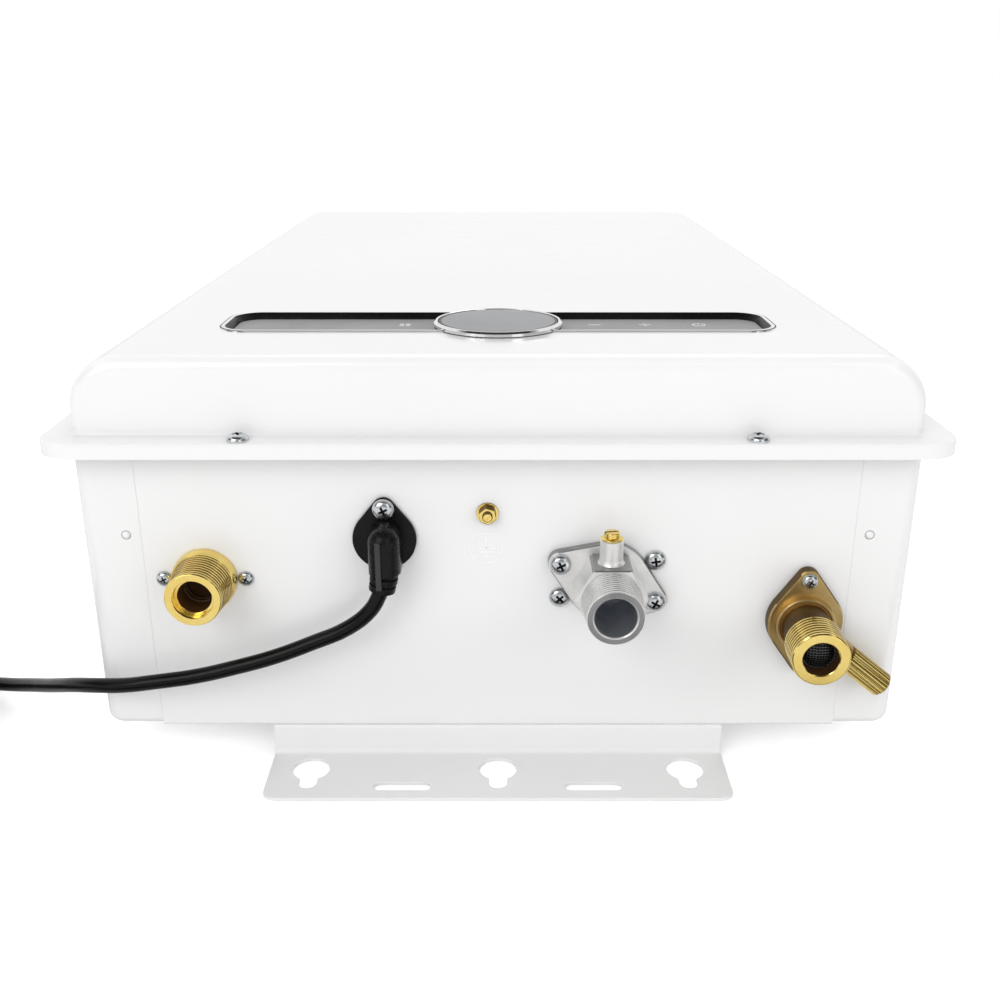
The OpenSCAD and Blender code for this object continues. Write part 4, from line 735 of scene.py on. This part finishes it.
def foldedSheet(profile, halfWidth, facing, fold):
    # sheet bent along its profile of (y, z) points, outer side towards facing at its longest face
    bm = bmesh.new()
    line = [bm.verts.new((-halfWidth, y, z)) for y, z in profile]
    links = [bm.edges.new(pair) for pair in zip(line, line[1:])]
    grown = bmesh.ops.extrude_edge_only(bm, edges=links)
    bmesh.ops.translate(bm, vec=(2 * halfWidth, 0, 0), verts=newVerts(grown))
    facingOut(bm, facing)
    bent = [e for e in bm.edges if len(e.link_faces) == 2]
    return softened(bm, fold, 4, bent)


def endPanel():
    end, foot, rim = case["low"], sheets["panelFoot"], sheets["rimUnder"]
    line = [(end + sheets["foot"], foot), (end, foot), (end, rim), (end - sheets["rimWide"], rim)]
    bm = foldedSheet(line, panelHalf, (0, -1, 0), sheets["foldRound"])
    parts = [softened(thickened(bm, case["sheet"]), sheets["edge"], 1, angle=60)]
    sunk = end + sheets["seamDepth"] + bead["deep"] / 2
    for side in (-1, 1):
        parts.append(placed(block(bead["wide"], bead["deep"], bead["high"]),
                            move(side * (panelHalf + case["seam"] / 2), sunk, bead["from"])))
    return joined(*parts)


finished(endPanel(), "bottom_panel_plate", "white_enamel", ["bottom_panel"])
flue = {"level": 75, "hole": 28.8, "inside": 29, "radius": 30, "bead": 30.8, "base": 42, "foot": 1.5,
        "reach": 35.6, "into": -6}
flueHole = placed(lathe(rodLine(flue["hole"], -20, 20)), onEnd(0, flue["level"]))
finished(placed(carved(endPanel(), flueHole), mirrorEnds), "top_panel_plate", "white_enamel",
         ["top_panel"])

rivet = {"across": 142.8, "level": 98.2, "radius": 1.9, "height": 0.75, "groove": 0.32}
rivetR = rivet["radius"]
rivetLine = [(0, rivet["height"]), (1.1, 0.62), (rivetR - 0.3, 0.05), (rivetR, 0.04), (rivetR, -0.4),
             (0, -0.4)]
domes = []
for end in (-1, 1):
    for side in (-1, 1):
        dome = lathe(eased(rivetLine, 0.1, 2), 32)
        # the rim of each dome painted grey: a painted shadow ring where the dome meets the panel
        painted(dome, 1, lambda c: c.xy.length > rivetR - rivet["groove"])
        domes.append(placed(dome, onEnd(side * rivet["across"], rivet["level"], end)))
finished(joined(*domes), "panel_rivet_heads", ["white_enamel", "painted_shade_grey"], ["panel_rivets"])

hanger = {"width": 184, "sheet": 1.2, "plate": 32, "foot": 26, "corner": 5, "fold": 1.8, "edge": 0.2,
          "cut": 12, "keyhole": 15, "slot": 7.2, "throw": 9.5, "pitch": 75.5, "keyholeIn": 12,
          "slotLong": 22.5, "slotWide": 5, "slotAcross": 37.75, "slotIn": 24}


def bracket():
    end, back, sheet = case["low"], case["back"], hanger["sheet"]
    first, last = end - hanger["plate"], end + hanger["foot"]
    line = [(first, sheet), (end, sheet), (end, back), (last, back)]
    bm = foldedSheet(line, hanger["width"] / 2, (0, 0, 1), hanger["fold"])
    corners = [v for v in bm.verts if v.co.y < first + touch or v.co.y > last - touch]
    rounded(bm, corners, hanger["corner"], 6, "VERTICES")
    wide, narrow, deep = hanger["keyhole"] / 2, hanger["slot"] / 2, hanger["cut"]
    cuts = []
    for k in (-1, 0, 1):
        at = move(k * hanger["pitch"], end - hanger["keyholeIn"], -5)
        cuts.append(placed(lathe(rodLine(wide, 0, deep), 48), at))
        neck = roundedPlate(2 * narrow, hanger["throw"] + 2 * narrow, narrow - 0.05, deep, 10)
        cuts.append(placed(neck, at @ move(0, -hanger["throw"] / 2, -0.5)))
    for side in (-1, 1):
        cut = roundedPlate(hanger["slotLong"], hanger["slotWide"], hanger["slotWide"] / 2 - 0.05, deep)
        cuts.append(placed(cut, move(side * hanger["slotAcross"], end - hanger["slotIn"], -5)))
    return softened(carved(thickened(bm, sheet), *cuts), hanger["edge"], 1, angle=60)


finished(bracket(), "lower_bracket_plate", "bracket_paint", ["lower_bracket"])
finished(placed(bracket(), mirrorEnds), "upper_bracket_plate", "bracket_paint", ["upper_bracket"])
print("case sheets made")


# Front cover with its control strip

cover = {"width": 319, "length": 515, "face": 168, "flange": 138.1, "sideRound": 21, "endRound": 5.5,
         "flangeOut": 11.5, "flangeRound": 15, "fold": 1.4, "lip": 132.3, "foot": 1.8, "sheet": 1}
strip = {"length": 227, "width": 41.5, "round": 12.5, "middle": -194, "ringMiddle": -200.5, "recess": 2.2,
         "ring": 26.2, "trimInner": 4.2, "border": 1.3, "pocketIn": 1.2, "fasciaIn": 3, "fascia": 2}
onStrip = move(0, strip["middle"], cover["face"])
onRing = move(0, strip["ringMiddle"], cover["face"])


def coverSheet():
    base = cover["flange"] + cover["foot"]
    bm = placed(block(cover["width"], cover["length"], cover["face"] - base), move(z=base))
    bmesh.ops.delete(bm, geom=[f for f in bm.faces if f.normal.z < -0.9], context="FACES")
    top = [e for e in bm.edges if all(v.co.z > cover["face"] - touch for v in e.verts)]
    softened(bm, cover["sideRound"], 16, [e for e in top if abs(e.verts[0].co.x - e.verts[1].co.x) < 1])
    far = cover["length"] / 2 - touch
    ends = [e for e in bm.edges if not e.is_boundary and abs(sum(v.co.y for v in e.verts)) > 2 * far]
    softened(bm, cover["endRound"], 6, ends)
    foot, fold = cover["foot"], cover["fold"]
    flat = cover["flangeOut"] - foot - fold
    steps = [(0.3 * foot, 0.7 * foot, 0), (0.7 * foot, 0.3 * foot, 0), (flat, 0, cover["flangeRound"] - fold),
             (0.5 * fold, 0.13 * fold, 0), (0.37 * fold, 0.37 * fold, 0), (0.13 * fold, 0.5 * fold, 0),
             (0.02, cover["flange"] - fold - cover["lip"], 0)]
    flanged(bm, [cover["width"] / 2, cover["length"] / 2], cover["endRound"], steps)
    return thickened(facingOut(bm, (0, 0, 1)), cover["sheet"])


def stripPlate(inset, height):
    length, width = strip["length"] - 2 * inset, strip["width"] - 2 * inset
    return roundedPlate(length, width, strip["round"] - inset, height)


def ringPlug(radius):
    return placed(lathe(rodLine(radius, -16, 16), 96), onRing)


pocket = placed(stripPlate(strip["pocketIn"], 30), onStrip @ move(z=-15))
finished(carved(coverSheet(), pocket, ringPlug(strip["ring"] - 1)), "front_cover_shell", "white_enamel",
         ["front_cover"], 30, "cover")

inner = strip["trimInner"]
trimLine = [(0, -0.05), (0, 0.4), (-0.6, 0.53), (-0.9, 0.58), (-1.9, 0.58), (-2.1, 0.52), (-inner, -2.25),
            (-inner, -3.2), (-1.3, -3.2), (-1.3, -0.05)]
shadowLine = [(0.06, -0.05), (0.06, 0.28), (-0.05, 0.28), (-0.05, -0.05)]
trimBand, shadowBand = [band(strip["length"], strip["width"], strip["round"], line, 12)
                        for line in (trimLine, shadowLine)]
# painted shade: the outer top facet dark, a shade line round the rim, and the inner wall black, shade down to
# the fascia
painted(trimBand, 1, lambda c: 0.4 < c.z < 0.5)  # outer facet
painted(trimBand, 2, lambda c: -1.5 < c.z < -0.4)  # inner wall
trim = placed(joined(trimBand, painted(shadowBand, 1)), onStrip)
finished(carved(trim, ringPlug(strip["ring"] - 0.4)), "control_trim_band",
         ["chrome_trim", "dark_plastic", "gland_plastic"], ["control_trim"], body="cover")
fascia = stripPlate(strip["fasciaIn"], strip["fascia"])
placed(fascia, onStrip @ move(z=-strip["recess"] - strip["fascia"]))
finished(softened(fascia, 0.2, 1), "control_fascia_panel", "dark_fascia", ["control_fascia"], body="cover")
ringR = strip["ring"]
ringLine = [(ringR, -0.3), (ringR, 0.35), (ringR + 0.1, 0.4), (ringR + 0.1, 1.5), (ringR - 0.65, 2.25),
            (ringR - 1.2, 2.32), (ringR - 1.5, 2.1), (ringR - 1.6, 1.6), (ringR - 1.6, -1.2),
            (ringR - 1.2, -3), (ringR - 1.05, -3), (ringR - 1.05, -0.3)]
# the ring's foot painted dark: a painted shadow line where it meets the cover
ringBand = painted(lathe(ringLine, 128, True), 1, lambda c: c.xy.length > ringR - 0.4 and c.z < 0.36)
finished(placed(ringBand, onRing), "display_ring_band", ["chrome_trim", "dark_plastic"],
         ["display_ring"], 20, "cover")
lensR = ringR - 1.65
printR = lensR - strip["border"]
lensLine = [(0, 2.1), (14, 2.08), (printR, 2.02), (lensR - 0.2, 1.95), (lensR, 1.6), (lensR, -0.6), (0, -0.6)]
lensDisc = painted(lathe(lensLine, 128), 1, lambda c: c.xy.length > printR + 0.05)
finished(placed(lensDisc, onRing), "display_lens_disc", ["display_glass", "gland_plastic"],
         ["display_lens"], body="cover")

# Printed marks on the fascia
marks = {"minus": 40.6, "plus": 61.8, "power": 84.5, "grid": -39.1, "thick": 0.08, "line": 0.9, "size": 5.2,
         "up": 4.9, "square": 1.9, "squarePitch": 2.6, "arcIn": 2.1, "arcOut": 2.9}


def bar(width, length, x=0.0, y=0.0):
    return placed(block(width, length, marks["thick"]), move(x, y, 0))


def powerMark():
    thick, near, far = marks["thick"], marks["arcIn"], marks["arcOut"]
    arc = lathe(rodLine(far, 0, thick, near), 48, True)
    gap = placed(block(1.9, 3, 2), move(0, 2.6, -0.5))
    return joined(carved(arc, gap), bar(0.8, 2.8, 0, 2.0))


size, thin, pitch = marks["size"], marks["line"], marks["squarePitch"]
icons = [bar(size, thin, marks["minus"]), bar(size, thin, marks["plus"]), bar(thin, size, marks["plus"]),
         placed(powerMark(), move(x=marks["power"]))]
for i in (-0.5, 0.5):
    for k in (-0.5, 0.5):
        icons.append(bar(marks["square"], marks["square"], marks["grid"] + pitch * i, pitch * k))
finished(placed(joined(*icons), onStrip @ move(0, marks["up"], -strip["recess"])), "control_marks",
         "icon_print", body="cover")
print("cover and control strip made")


# Screws

screwKinds = {"m4": {"head": 8.3, "high": 2.6, "cross": 5, "slot": 1.2},
              "m3": {"head": 6.3, "high": 2, "cross": 3.6, "slot": 0.9},
              "gland": {"head": 8.5, "high": 2.6, "cross": 5, "slot": 1.2}}
coverScrews = {"across": 95.5, "out": 6}


def screwHead(kind):
    size = screwKinds[kind]
    r, h = size["head"] / 2, size["high"]
    bm = lathe([(0, h), (0.35 * r, 0.98 * h), (0.62 * r, 0.9 * h), (0.83 * r, 0.72 * h), (0.96 * r, 0.42 * h),
                (r, 0.16 * h), (0.97 * r, 0), (0.45 * r, 0), (0.45 * r, -3), (0, -3)], 40)
    cuts = []
    for angle in (25, 115):
        cut = block(size["cross"], size["slot"], 3)
        bmesh.ops.scale(cut, vec=(0.55, 0.6, 1), verts=[v for v in cut.verts if v.co.z < 1])
        cuts.append(placed(cut, turn(z=angle) @ move(z=0.42 * h)))
    # the cross recess painted near black: painted shade
    return painted(carved(bm, *cuts), 1, lambda c: c.xy.length < 0.6 * r and 0.2 * h < c.z < 0.86 * h)


def screwSet(node, kind, places, body="heater"):
    heads = [placed(screwHead(kind), place @ turn(z=37 * i)) for i, place in enumerate(places)]
    name = node.replace("screw", "screw_head")
    return finished(joined(*heads), name, ["zinc_screw", "painted_recess_shade"], [node], body=body)


coverScrewPlaces = [move(side * coverScrews["across"], end * (case["high"] + coverScrews["out"]),
                         cover["flange"]) for end in (-1, 1) for side in (-1, 1)]
screwSet("cover_screws", "m4", coverScrewPlaces, "cover")


# Water and gas connections

def ridges(start, pitch, count, first, last, depth):
    line = []
    for k in range(count):
        base = start + k * pitch
        crest = first + (last - first) * k / (count - 1)
        line += [(crest - depth, base), (crest, base + 0.2 * pitch), (crest, base + 0.74 * pitch),
                 (crest - depth, base + 0.94 * pitch)]
    return [*line, (last - depth, start + count * pitch)]


def inGroove(start, pitch, count, first, last, depth):
    def chosen(c):
        crest = first + (last - first) * (c.z - start) / (pitch * count)
        deep = crest - depth - 0.1 < c.xy.length < crest - 0.15
        return deep and start < c.z < start + pitch * (count + 0.3)
    return chosen


def inBore(radius, low, high):
    return lambda c: c.xy.length < radius and low < c.z < high


def earedPlate(size, x, y):
    ears = [(side * x, side * y, size["lobe"]) for side in (1, -1)]
    return lobedPlate([(0, 0, size["middle"]), *ears], size["flange"])


hot = {"across": -114, "level": 80, "screws": 15.9}
hotThread = {"start": 5.6, "pitch": 1.6, "count": 8, "first": 11.9, "last": 10.75, "depth": 0.85}
hotLine = [(0, -14), (8.8, -14), (8.8, 0), (12.6, 0), (12.6, 3), (12.3, 4.3), (11.95, 5.3), (10.95, 5.6),
           *ridges(**hotThread), (9.9, 18.7), (10.75, 18.75), (10.75, 19.5), (10.4, 20), (7.7, 20), (7.7, 17),
           (6.5, 17), (6.5, 8), (5.9, 7.7), (5.9, 6.9), (6.5, 6.6), (6.5, 5.4), (5.9, 5.1), (5.9, 4.3),
           (6.5, 4), (6.5, 3), (0, 3)]
hotPlace = seat(hot)
# painted shade: the bore dark brown and the thread grooves dark brass
hotBody = painted(lathe(eased(hotLine, 0.08, 1), 96), 1, inBore(6.6, 2.5, 16.9))
painted(hotBody, 2, inGroove(**hotThread))
finished(placed(hotBody, hotPlace), "hot_outlet_body", ["turned_brass", "painted_bore_shade", "painted_shade_brass"],
         ["hot_outlet"], 20)
screwSet("hot_outlet_screws", "m3", [hotPlace @ move(x=side * hot["screws"]) for side in (-1, 1)])

cold = {"across": 120.2, "lean": 3, "level": 63, "flange": 5, "middle": 14.8, "lobe": 4.4, "screws": 18,
        "drainOut": 7.4, "drainAngle": 39, "boss": 5.3, "bossTo": 20, "hole": 3.3, "holeTo": 14.6,
        "knobFrom": 20.4, "knobTo": 41.2, "knob": 5.2, "teeth": 28, "knurl": 0.16, "knobEnd": 0.7}
coldPlace = seat(cold)
coldLean = turn(y=-cold["lean"])
coldThread = {"start": 21, "pitch": 1.8, "count": 7, "first": 10.9, "last": 10.7, "depth": 0.85}
coldLine = [(0, -14), (10, -14), (10, 4), (11.5, 4), (11.5, 7.6), (11.1, 8), (10.2, 8), (9.6, 7.2),
            (9.3, 8.4), (9.3, 21), *ridges(**coldThread), (10.7, 33.8), (10.7, 34.5), (10.2, 35), (7, 35),
            (6.6, 34.6), (6.6, 18), (0, 18)]
coldFlange = earedPlate(cold, 0, cold["screws"])
coldNeck = painted(lathe(eased(coldLine, 0.1, 1), 96), 1, lambda c: c.z > 20.8)
# painted shade: the bore, the thread grooves and the neck under the thread
painted(coldNeck, 2, inBore(6.7, 17.5, 34.5))
painted(coldNeck, 4, inGroove(**coldThread))
painted(coldNeck, 3, lambda c: 8.4 < c.z < 20.9 and c.xy.length > 9)
placed(coldNeck, coldLean)
# the flange's upright sides in painted shade
sidesPainted(coldFlange, 3)
drainPlace = move(z=cold["drainOut"]) @ turn(y=90, z=-cold["drainAngle"])
bossLine = [(0, 4), (cold["boss"], 4), (cold["boss"], cold["bossTo"]), (cold["hole"], cold["bossTo"]),
            (cold["hole"], cold["holeTo"]), (0, cold["holeTo"])]
# the drain hole in painted bore shade
drainBoss = painted(lathe(eased(bossLine, 0.7), 48), 2, inBore(cold["hole"] + 0.1, 14, cold["bossTo"] + 1))
placed(drainBoss, drainPlace)
finished(placed(joined(softened(coldFlange, 0.9, 3), coldNeck, drainBoss), coldPlace), "cold_inlet_body",
         ["cast_bronze", "turned_brass", "painted_bore_shade", "painted_shade_bronze", "painted_shade_brass"], ["cold_inlet"], 20)
screwSet("cold_inlet_screws", "m3",
         [coldPlace @ move(y=side * cold["screws"], z=cold["flange"]) for side in (-1, 1)])


def knurled(radius, depth, teeth, length, ends):
    bm = bmesh.new()
    bmesh.ops.create_circle(bm, cap_ends=True, radius=radius, segments=4 * teeth)
    for i, v in enumerate(bm.verts):
        if i % 4 > 1:
            v.co *= 1 - depth / radius
    share = 1 - ends / radius
    bmesh.ops.scale(bm, vec=(share, share, 1), verts=bm.verts)
    face = bm.faces[:]
    steps = ((ends, 1 / share), (length - 2 * ends, 1), (ends, share), (0, 0.72), (-0.5, 1), (0, 0.4))
    for rise, grow in steps:
        grown = bmesh.ops.extrude_face_region(bm, geom=face)
        verts = newVerts(grown)
        bmesh.ops.translate(bm, vec=(0, 0, rise), verts=verts)
        bmesh.ops.scale(bm, vec=(grow, grow, 1), verts=verts)
        face = [g for g in grown["geom"] if isinstance(g, bmesh.types.BMFace)]
    return outward(bm)


knob = knurled(cold["knob"], cold["knurl"], cold["teeth"], cold["knobTo"] - cold["knobFrom"], cold["knobEnd"])
# the knurl's valleys in painted shade
painted(knob, 1, lambda c: 4.5 < c.xy.length < cold["knob"] - 0.13)
stemThread = {"start": -5, "pitch": 1, "count": 5, "first": 2.95, "last": 2.95, "depth": 0.4}
stem = lathe([(0, -5.4), (2.3, -5.4), *ridges(**stemThread), (2.55, 0.4), (0, 0.4)], 40)
# the stem's thread grooves in painted shade
painted(stem, 1, inGroove(**stemThread))
finished(placed(joined(knob, stem), coldPlace @ drainPlace @ move(z=cold["knobFrom"])), "drain_knob_body",
         ["turned_brass", "painted_shade_brass"], ["drain_knob"], 25, "drain_knob")

gas = {"across": 42.5, "level": 80, "flange": 4.4, "middle": 16.2, "lobe": 4.9, "screwX": 18.4, "screwY": 7.9,
       "hex": 24.4, "hexOut": 20.7, "portOut": 12.5, "portTop": 21.6, "bore": 7.8}
gasPlace = seat(gas)
gasFlange = earedPlate(gas, -gas["screwX"], gas["screwY"])
gasHex = softened(prism(6, gas["hex"], gas["hexOut"], 30), 1.1, 3)
gasThread = {"start": 20.8, "pitch": 1.5, "count": 9, "first": 11.5, "last": 10.75, "depth": 0.6}
gasLine = [(0, -12), (9.9, -12), (9.9, 20.5), (11.2, 20.6), *ridges(**gasThread), (10.7, 34.6), (10.6, 35.2),
           (10.2, 35.6), (8.3, 35.6), (gas["bore"], 35.1), (gas["bore"], 8), (0, 8)]
top = gas["portTop"]
portLine = [(0, 9), (5.4, 9), (5.2, 12.2), (4.7, 12.8), (4.45, 13.8), (4.4, top), (0, top)]
portPlace = move(z=gas["portOut"]) @ turn(x=-90)
gasBoss = placed(lathe(eased(portLine, 0.5), 48), portPlace)
gasHex = carved(gasHex, lathe(rodLine(9.5, -5, 40), 64))
gasTube = painted(lathe(eased(gasLine, 0.08, 1), 96), 1, lambda c: c.z > 35.5 and c.xy.length > 8.4)
# painted shade: thread grooves, bore, flange sides and the hex's upper side
painted(gasTube, 2, inGroove(**gasThread))
painted(gasTube, 3, inBore(gas["bore"] + 0.1, 7, 34.9))
sidesPainted(gasFlange, 2)
painted(gasHex, 2, lambda c: c.y > 0.47 * gas["hex"])  # the side under the test port
finished(placed(joined(softened(gasFlange, 0.8, 3), gasHex, gasTube, gasBoss), gasPlace), "gas_inlet_body",
         ["cast_aluminium", "cut_face", "painted_shade_grey", "painted_shade_blue_grey"], ["gas_inlet"], 20)
gasScrewSpots = [(-1, 1, gas["flange"]), (1, -1, gas["flange"]), (1, 1, 0), (-1, -1, 0)]
screwSet("gas_inlet_screws", "m4",
         [gasPlace @ move(sx * gas["screwX"], sy * gas["screwY"], z) for sx, sy, z in gasScrewSpots])
testDish = lathe(eased([(0, top), (4.3, top), (4.35, top + 0.6), (3.2, top + 1), (0, top + 1)], 0.25), 48)
testHead = lathe(eased(rodLine(2.9, top + 0.8, top + 3), 0.4), 40)
testHead = carved(testHead, placed(block(9, 1, 2), move(z=top + 2) @ turn(z=12)))
# the slot painted in shade
painted(testHead, 1, inBore(2.6, top + 1.9, top + 2.8))
finished(placed(joined(testDish, testHead), gasPlace @ portPlace), "gas_test_screw_head",
         ["turned_brass", "painted_shade_bronze"], ["gas_test_screw"], body="test_screw")

strainer = {"radius": 6.4, "wire": 0.24, "pitch": 1.05, "depth": 31, "bulge": 0.05, "layer": 0.35, "steps": 5}
strands = []
reach = int(strainer["radius"] / strainer["pitch"])
steps = strainer["steps"]
for across in (0, 1):
    for i in range(-reach, reach + 1):
        x = i * strainer["pitch"]
        half = math.sqrt(strainer["radius"] ** 2 - x * x)
        line = [(strainer["wire"], half * k / steps) for k in range(-steps, steps + 1)]
        strand = lathe([(0, -half), *line, (0, half)], 6)
        placed(strand, move(z=strainer["layer"] * across) @ turn(z=90 * across) @ move(x=x) @ turn(x=90))
        for v in strand.verts:
            v.co.z -= strainer["bulge"] * v.co.xy.length_squared
        strands.append(strand)
cage = lathe(eased(rodLine(6.5, -7, -1.4, 5.9), 0.15, 2, True), 64, True)
finished(placed(joined(*strands, cage), coldPlace @ coldLean @ move(z=strainer["depth"])),
         "inlet_strainer_mesh", "strainer_mesh", ["inlet_strainer"])
print("connections made")


# Earth terminal with its mark, cord gland, flue collar

earth = {"across": -4, "level": 107.2, "hole": 2.1, "washer": 4.3, "washerHigh": 0.8, "nut": 6.2,
         "nutHigh": 3.2, "stud": 5.6, "markX": -4.5, "markZ": 92.8, "mark": 6.6, "markLine": 0.55, "bar": 0.6,
         "barHigh": 0.42}
washerR, studTop = earth["washer"], earth["stud"]
washer = lathe(eased(rodLine(washerR, 0, earth["washerHigh"], earth["hole"]), 0.2, 2, True), 48, True)
# painted shade on the washer's rim, the nut's sides and the stud's thread
painted(washer, 1, lambda c: c.xy.length > washerR - 0.1)
nut = softened(sidesPainted(prism(6, earth["nut"], earth["nutHigh"], 12), 1), 0.45)
studLine = [(0, 0), (1.9, 0), (1.9, 3.4), *ridges(3.4, 0.55, 3, 2, 2, 0.35), (1.6, studTop), (0, studTop)]
stud = lathe(eased(studLine, 0.1, 2), 32)
painted(stud, 1, lambda c: c.xy.length > 1.5 and c.z < studTop - 0.2)
stud = carved(stud, placed(block(5, 0.6, 2), move(z=studTop - 0.5) @ turn(z=50)))
placed(nut, move(z=earth["washerHigh"]))
finished(placed(joined(washer, nut, stud), seat(earth)), "earth_terminal_stud",
         ["turned_brass", "painted_shade_bronze"], ["earth_terminal"])
markLine = rodLine(earth["mark"], -0.2, 0.22, earth["mark"] - earth["markLine"])
thin = earth["bar"]
markBars = [(thin, 4.4, 2.2), (6.6, thin, 0), (4.4, thin, -1.6), (2.2, thin, -3.2)]
bars = [placed(block(wide, long, earth["barHigh"]), move(0, y, -0.2)) for wide, long, y in markBars]
earthMark = joined(lathe(eased(markLine, 0.12, 2, True), 64, True), *bars)
# the raised mark in a lighter white: a painted highlight on the relief
finished(placed(earthMark, onEnd(earth["markX"], earth["markZ"])), "earth_mark_relief", "raised_paint")

gland = {"across": -43.5, "level": 97, "radius": 12.3, "ear": 12.6, "earRadius": 4.4, "plate": 2.5,
         "elbow": 6, "axis": 11.4, "dome": 8.8, "drop": 9.9, "lean": 11, "aside": 0.7,
         "ribWide": 2.1, "ribDeep": 1.9, "ribX": -1.75, "ribLow": 4.5, "ribMore": 6.5}
glandPlace = seat(gland)


def elbow():
    r = gland["elbow"]
    middle = gland["dome"] - r
    bottom = -gland["drop"]
    arch = bmesh.new()
    bmesh.ops.create_circle(arch, cap_ends=True, radius=r, segments=48, matrix=move(y=middle))
    for v in [v for v in arch.verts if v.co.y < middle - touch]:
        v.co.y = bottom
        v.co.x = math.copysign(r, v.co.x) if abs(v.co.x) > 0.5 * r else v.co.x * 2
    bmesh.ops.remove_doubles(arch, verts=arch.verts, dist=10 * weld)
    arch = raised(arch, gland["axis"])
    dome = [(r * math.sin(math.radians(a)), middle + r * math.cos(math.radians(a))) for a in range(0, 91, 9)]
    front = lathe([*dome, (r, bottom + 0.5), (r - 0.5, bottom), (0, bottom)], 64)
    rib = softened(block(gland["ribWide"], gland["ribDeep"], middle - bottom + gland["ribMore"]), 0.5)
    placed(rib, move(gland["ribX"], -r + 0.2, bottom - gland["ribLow"]))
    # the rib in the paler dark_plastic: a painted highlight along its front
    whole = joined(arch, placed(joined(front, painted(rib, 1)), move(z=gland["axis"]) @ turn(x=-90)))
    return placed(whole, move(x=gland["aside"]))


def relief():
    line = [(0, 0.5), (5.2, 0.5), (5.2, -0.2), (4.3, -0.4), (4.3, -1), (5.4, -1.1), (5.4, -3.4), (4.2, -3.6),
            (4.2, -4.3), (5.2, -4.4), (5.1, -7), (3.6, -7.3), (0, -7.3)]
    below = move(gland["aside"], -gland["drop"], gland["axis"])
    return placed(lathe(eased(line, 0.35, 2), 48), below @ turn(z=-gland["lean"]) @ turn(x=-90))


glandPlate = lobedPlate([(0, 0, gland["radius"]), (0, gland["ear"], gland["earRadius"])], gland["plate"])
finished(placed(joined(softened(glandPlate, 0.8, 3), elbow(), relief()), glandPlace), "cord_gland_body",
         ["gland_plastic", "dark_plastic"], ["cord_gland"])
screwSet("gland_screw", "gland", [glandPlace @ move(y=gland["ear"], z=gland["plate"])])

inside, flueR, flueBead, base = flue["inside"], flue["radius"], flue["bead"], flue["base"]
flueLine = [(inside, flue["into"]), (inside, flue["reach"]), (flueR, flue["reach"]), (flueR, 24),
            (flueBead, 23.2), (flueBead, 22), (flueR, 21.2), (flueR, flue["foot"]), (base, flue["foot"]),
            (base, 0), (flueR, 0), (flueR, flue["into"])]
collar = lathe(eased(flueLine, 0.3, 2, True), 96, True)
finished(placed(collar, onEnd(0, flue["level"], 1)), "flue_collar_tube", "galvanised_steel", ["flue_collar"])
print("earth terminal, gland and flue made")
